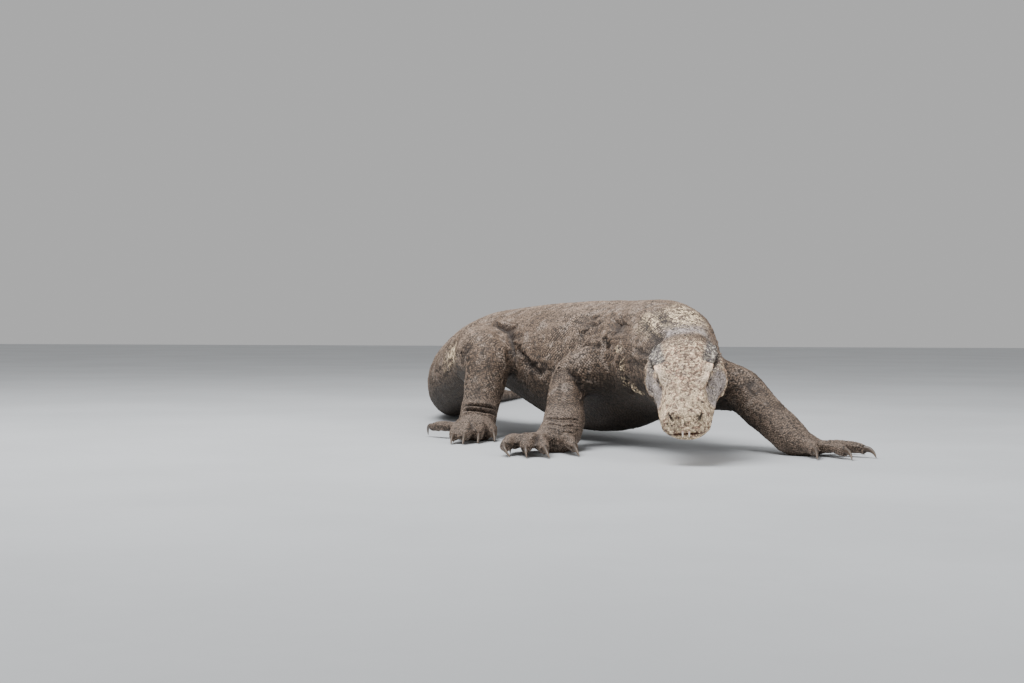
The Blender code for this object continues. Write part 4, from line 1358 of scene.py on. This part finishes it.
def horn_finish(settings):
    """Claws: dark horn, streaked along, paler and worn towards the point."""
    material, g, shader = sheet("claw_horn")
    streak, run = g.speckle(260.0, 4.0, 0.6), g.mark("run")
    worn = g.math("ADD", run, g.span(streak, 0.3, 0.7, -0.18, 0.18))
    tone = g.mottle(
        tuple(settings.claw), (worn, 0.45, 1.0, (0.150, 0.108, 0.078)),
        (g.speckle(90.0), 0.55, 0.75, (0.105, 0.076, 0.056)), (run, 0.20, 0.0, (0.150, 0.110, 0.082)),
    )
    rough = g.span(streak, 0.3, 0.7, 0.34, 0.56)
    g.feed(shader, {"Base Color": tone, "Roughness": rough, "Normal": g.bump(0.3, 0.0004, streak)})
    return material


def eye_finish(settings):
    """Eyes: black pupil, brown iris with fine rays, wet surface."""
    material, g, shader = sheet("eye_wet")
    ring, rays = g.mark("ring"), g.speckle(900.0, 3.0, 0.6)
    iris = g.mottle(tuple(settings.iris), (rays, 0.35, 0.65, (0.030, 0.015, 0.008)))
    tone = g.mottle(
        (0.004, 0.003, 0.003), (ring, 0.36, 0.42, iris), (ring, 0.74, 0.88, (0.020, 0.013, 0.010))
    )
    rough = g.span(rays, 0.3, 0.7, 0.10, 0.18)
    g.feed(shader, {"Base Color": tone, "Roughness": rough, "Coat Weight": 0.35, "Coat Roughness": 0.08})
    return material


def tooth_finish(settings):
    """Teeth: pinker at the root, ivory towards the point, faintly streaked."""
    material, g, shader = sheet("tooth_ivory")
    streak = g.speckle(500.0, 3.0)
    tone = g.mottle(
        (0.62, 0.40, 0.32), (g.mark("run"), 0.0, 0.55, tuple(settings.tooth)),
        (streak, 0.55, 0.75, (0.60, 0.50, 0.38)),
    )
    rough = g.span(streak, 0.3, 0.7, 0.22, 0.38)
    g.feed(shader, {"Base Color": tone, "Roughness": rough, "Coat Weight": 0.4})
    return material


def floor_finish(colour):
    """Floor: matt and pale, with a faint drift of tone."""
    material, g, shader = sheet("floor_matt")
    tone = g.mottle(tuple(colour), (g.speckle(2.2, 4.0), 0.35, 0.65, tuple(0.93 * part for part in colour)))
    g.feed(shader, {"Base Color": tone, "Roughness": g.span(g.speckle(30.0, 3.0), 0.3, 0.7, 0.62, 0.74)})
    return material


# ---------------------------------------------------------------- settings


def size_setting(name, description, value):
    return FloatProperty(name=name, description=description, default=value, unit="LENGTH")


def tone_setting(name, description, colour):
    return FloatVectorProperty(
        name=name, description=description, subtype="COLOR", min=0, max=1, default=colour
    )


class DragonSkin(bpy.types.PropertyGroup):
    grain: size_setting("Grain", "Mesh size of the first skin", 0.0028)
    faces: IntProperty(name="Faces", description="Triangles kept by the skin", default=90000)
    coat: size_setting("Coat depth", "How deep the skin lies in the flesh", 0.0010)


class DragonCoat(bpy.types.PropertyGroup):
    body: size_setting("Body", "Scale pitch on the body", 0.0038)
    tail: size_setting("Tail", "Scale pitch on the tail", 0.0047)
    under: size_setting("Under", "Scale pitch below", 0.0050)
    nape: size_setting("Nape", "Scale pitch on the nape", 0.0034)
    face: size_setting("Face", "Scale pitch on the face", 0.0023)
    feet: size_setting("Feet", "Scale pitch on the feet", 0.0029)


class DragonColours(bpy.types.PropertyGroup):
    back: tone_setting("Back", "Scales of the back and flanks", (0.226, 0.161, 0.117))
    # partly the darker skin between the scales, partly painted shade in the gaps
    gap: tone_setting("Gaps", "Skin between the scales", (0.042, 0.030, 0.022))
    # dark partly as the belly's own colour and partly as painted shade on the underside
    belly: tone_setting("Belly", "Scales below", (0.050, 0.036, 0.026))
    crown: tone_setting("Crown", "Scales of the crown and snout", (0.620, 0.430, 0.310))
    cheek: tone_setting("Cheeks", "Blue grey of cheeks, lids and temples", (0.460, 0.400, 0.380))
    cream: tone_setting("Cream", "Speckles of the nape and snout", (0.860, 0.680, 0.450))
    brow: tone_setting("Brow", "Smooth rims over the eyes", (0.940, 0.740, 0.540))
    feet: tone_setting("Feet", "Scales of hands and feet", (0.290, 0.210, 0.158))
    mouth: tone_setting("Mouth", "Inside of the lips", (0.110, 0.018, 0.012))
    claw: tone_setting("Claws", "Horn of the claws", (0.078, 0.056, 0.041))
    iris: tone_setting("Iris", "Ring of the eye", (0.075, 0.038, 0.018))
    tooth: tone_setting("Teeth", "Ivory of the teeth", (0.900, 0.820, 0.700))


class DragonStage(bpy.types.PropertyGroup):
    floor: tone_setting("Floor", "Colour of the floor", (0.57, 0.59, 0.61))


# ---------------------------------------------------------------- operators


def ready(piece, material, slot, *nodes):
    """Gives a finished piece its material and its body, and hides the solids it stands for; the slot is not
    used.
    """
    piece.data.materials.append(material)
    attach(piece, "root")
    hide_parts(*nodes)


def rounded(node):
    """A smooth copy of a small solid."""
    piece = copy_of(node)
    piece.name = piece.data.name = node + "_piece"
    finish(piece, "SUBSURF", levels=2, render_levels=2)
    smooth(piece)
    return piece


class DRAGON_OT_skin(bpy.types.Operator):
    """Draws one skin over the flesh solids and works its folds, lids and lips into it"""

    bl_idname = "dragon.skin"
    bl_label = "Skin"

    def execute(self, context):
        settings = context.scene.dragon_skin
        skin = draw_skin(settings)
        clay = Clay(skin)
        feet = near_box(clay.co, FEET, 0.014)
        clay.move(clay.no, -(SWELL + settings.coat * (1 - 0.8 * feet)))
        clay.turn()
        work_body(clay)
        lean_crown(clay)
        work_eyes(clay)
        work_head(clay)
        clay.co[:, 2] = np.maximum(clay.co[:, 2], 0.0)
        clay.turn()
        with editing(skin):
            bpy.ops.uv.smart_project(angle_limit=math.radians(66), island_margin=0.002)
        skin.data.uv_layers.active.name = "OFBake"
        smooth(skin)
        chart(skin, clay.dark, clay.red)
        skin.data.materials.append(hide_finish("skin_hide", context.scene.dragon_colours, False))
        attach(skin, "root")
        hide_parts(*FLESH)
        return {"FINISHED"}


class DRAGON_OT_coat(bpy.types.Operator):
    """Lays rows of small raised scales over the skin"""

    bl_idname = "dragon.coat"
    bl_label = "Scales"

    def execute(self, context):
        scale_hide = hide_finish("scale_hide", context.scene.dragon_colours, True)
        for piece in scatter_scales(bpy.data.objects["skin"], context.scene.dragon_coat):
            piece.data.materials.append(scale_hide)
            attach(piece, "root")
        return {"FINISHED"}


class DRAGON_OT_claws(bpy.types.Operator):
    """Rounds the claws and marks each from root to point"""

    bl_idname = "dragon.claws"
    bl_label = "Claws"

    def execute(self, context):
        horn = horn_finish(context.scene.dragon_colours)
        for node in CLAWS:
            root, point = (np.array(end) for end in claw_seat(node))
            axis = point - root
            piece = rounded(node)
            co = places_of(piece)
            along = np.clip((co - root) @ axis / (axis @ axis), 0, 1)
            stout = CLAW_STOUT * (1 - 0.75 * along) * (along > 0)
            co += (co - (root + along[:, None] * axis)) * stout[:, None]
            co[:, 2] = np.maximum(co[:, 2], 0.0)
            put_places(piece, co)
            mark(piece, "run", np.clip((co - root) @ axis / (axis @ axis), 0, 1))
            ready(piece, horn, "claw_horn", node)
        return {"FINISHED"}


class DRAGON_OT_eyes(bpy.types.Operator):
    """Sets a whole eyeball with pupil, iris and cornea behind each pair of lids"""

    bl_idname = "dragon.eyes"
    bl_label = "Eyes"

    def execute(self, context):
        wet = eye_finish(context.scene.dragon_colours)
        sphere = bpy.ops.mesh.primitive_uv_sphere_add
        for side, node in zip(SIDES, EYES):
            _, _, face = eye_axes(side)
            piece = added(sphere, node + "_ball", segments=40, ring_count=24, radius=EYEBALL)
            piece.rotation_euler = Vector(face).to_track_quat("Z", "Y").to_euler()
            piece.location = eye_seat(side)
            settle(piece)
            co = places_of(piece)
            away = co - eye_seat(side)
            turned = np.arccos(np.clip(away @ face / EYEBALL, -1, 1))
            mark(piece, "ring", turned)
            # the cornea bulges in front
            put_places(piece, co + away * (0.05 * fall(0.0, 0.75, turned))[:, None])
            smooth(piece)
            ready(piece, wet, "eye_surface", node)
        return {"FINISHED"}


class DRAGON_OT_teeth(bpy.types.Operator):
    """Rounds the two teeth that show between the lips"""

    bl_idname = "dragon.teeth"
    bl_label = "Teeth"

    def execute(self, context):
        ivory = tooth_finish(context.scene.dragon_colours)
        for node in TEETH:
            piece = rounded(node)
            co = places_of(piece)
            run = (co[:, 2].max() - co[:, 2]) / np.ptp(co[:, 2])
            # rounding draws a tooth in: it is stretched back to the point of its solid, and filled out
            tip = places_of(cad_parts[node])[:, 2].min()
            co[:, 2] -= run * (co[:, 2].min() - tip + TOOTH_LONGER)
            co -= np.outer(run, np.array(BACK) * TOOTH_FORWARD)
            co[:, :2] += (TOOTH_STOUT - 1) * (co[:, :2] - co[:, :2].mean(0))
            put_places(piece, co)
            mark(piece, "run", run)
            ready(piece, ivory, "tooth_enamel", node)
        return {"FINISHED"}


class DRAGON_OT_stage(bpy.types.Operator):
    """Sets out the floor, the lights and the camera"""

    bl_idname = "dragon.stage"
    bl_label = "Stage"

    def execute(self, context):
        floor = settle(added(bpy.ops.mesh.primitive_plane_add, "floor", size=14.0, location=(0, 2.0, 0)))
        floor.data.materials.append(floor_finish(context.scene.dragon_stage.floor))

        world = bpy.data.worlds.new("studio")
        world.use_nodes = True
        sky = world.node_tree.nodes["Background"].inputs
        sky["Color"].default_value = (0.90, 0.90, 0.90, 1)
        sky["Strength"].default_value = 0.55
        context.scene.world = world

        for name, place, aim, size, power in (
            ("overhead", (-0.9, -0.9, 2.6), (0, -0.2, 0.1), 1.8, 118),
            ("fill", (1.8, -2.4, 1.2), (0, -0.6, 0.1), 1.6, 20),
        ):
            light = added(bpy.ops.object.light_add, name, type="AREA", location=place)
            light.data.size = size
            light.data.energy = power
            light.rotation_euler = (Vector(aim) - Vector(place)).to_track_quat("-Z", "Y").to_euler()

        camera = added(bpy.ops.object.camera_add, "view", location=HOME + CAMERA_IN_PLAN)
        turn = Euler((math.pi / 2 - CAMERA_DOWN, 0, 0)).to_matrix() @ Matrix.Rotation(CAMERA_ROLL, 3, "Z")
        camera.rotation_euler = turn.to_euler()
        camera.data.lens = CAMERA_LENS
        camera.data.sensor_width = 36.0
        context.scene.camera = camera
        return {"FINISHED"}


class DRAGON_PT_panel(bpy.types.Panel):
    """Sizes, colours and pieces of the komodo dragon"""

    bl_idname = "DRAGON_PT_panel"
    bl_label = "Komodo Dragon"
    bl_space_type = "VIEW_3D"
    bl_region_type = "UI"
    bl_category = "Dragon"

    def draw(self, context):
        for label, settings, operators in (
            ("Skin", "dragon_skin", ("dragon.skin",)),
            ("Scales", "dragon_coat", ("dragon.coat",)),
            ("Colours", "dragon_colours", ("dragon.claws", "dragon.eyes", "dragon.teeth")),
            ("Stage", "dragon_stage", ("dragon.stage",)),
        ):
            box = self.layout.box()
            box.label(text=label)
            group = getattr(context.scene, settings)
            for name in group.__annotations__:
                box.prop(group, name)
            for operator in operators:
                box.operator(operator)


SETTINGS = {
    "dragon_skin": DragonSkin,
    "dragon_coat": DragonCoat,
    "dragon_colours": DragonColours,
    "dragon_stage": DragonStage,
}
CLASSES = (
    *SETTINGS.values(), DRAGON_OT_skin, DRAGON_OT_coat, DRAGON_OT_claws, DRAGON_OT_eyes, DRAGON_OT_teeth,
    DRAGON_OT_stage, DRAGON_PT_panel,
)


def register():
    for kind in CLASSES:
        bpy.utils.register_class(kind)
    for name, kind in SETTINGS.items():
        setattr(bpy.types.Scene, name, PointerProperty(type=kind))


def unregister():
    for name in SETTINGS:
        delattr(bpy.types.Scene, name)
    for kind in reversed(CLASSES):
        bpy.utils.unregister_class(kind)


def main():
    register()
    bpy.ops.dragon.skin()
    bpy.ops.dragon.coat()
    bpy.ops.dragon.claws()
    bpy.ops.dragon.eyes()
    bpy.ops.dragon.teeth()
    bpy.ops.dragon.stage()


if __name__ == "__main__":
    main()
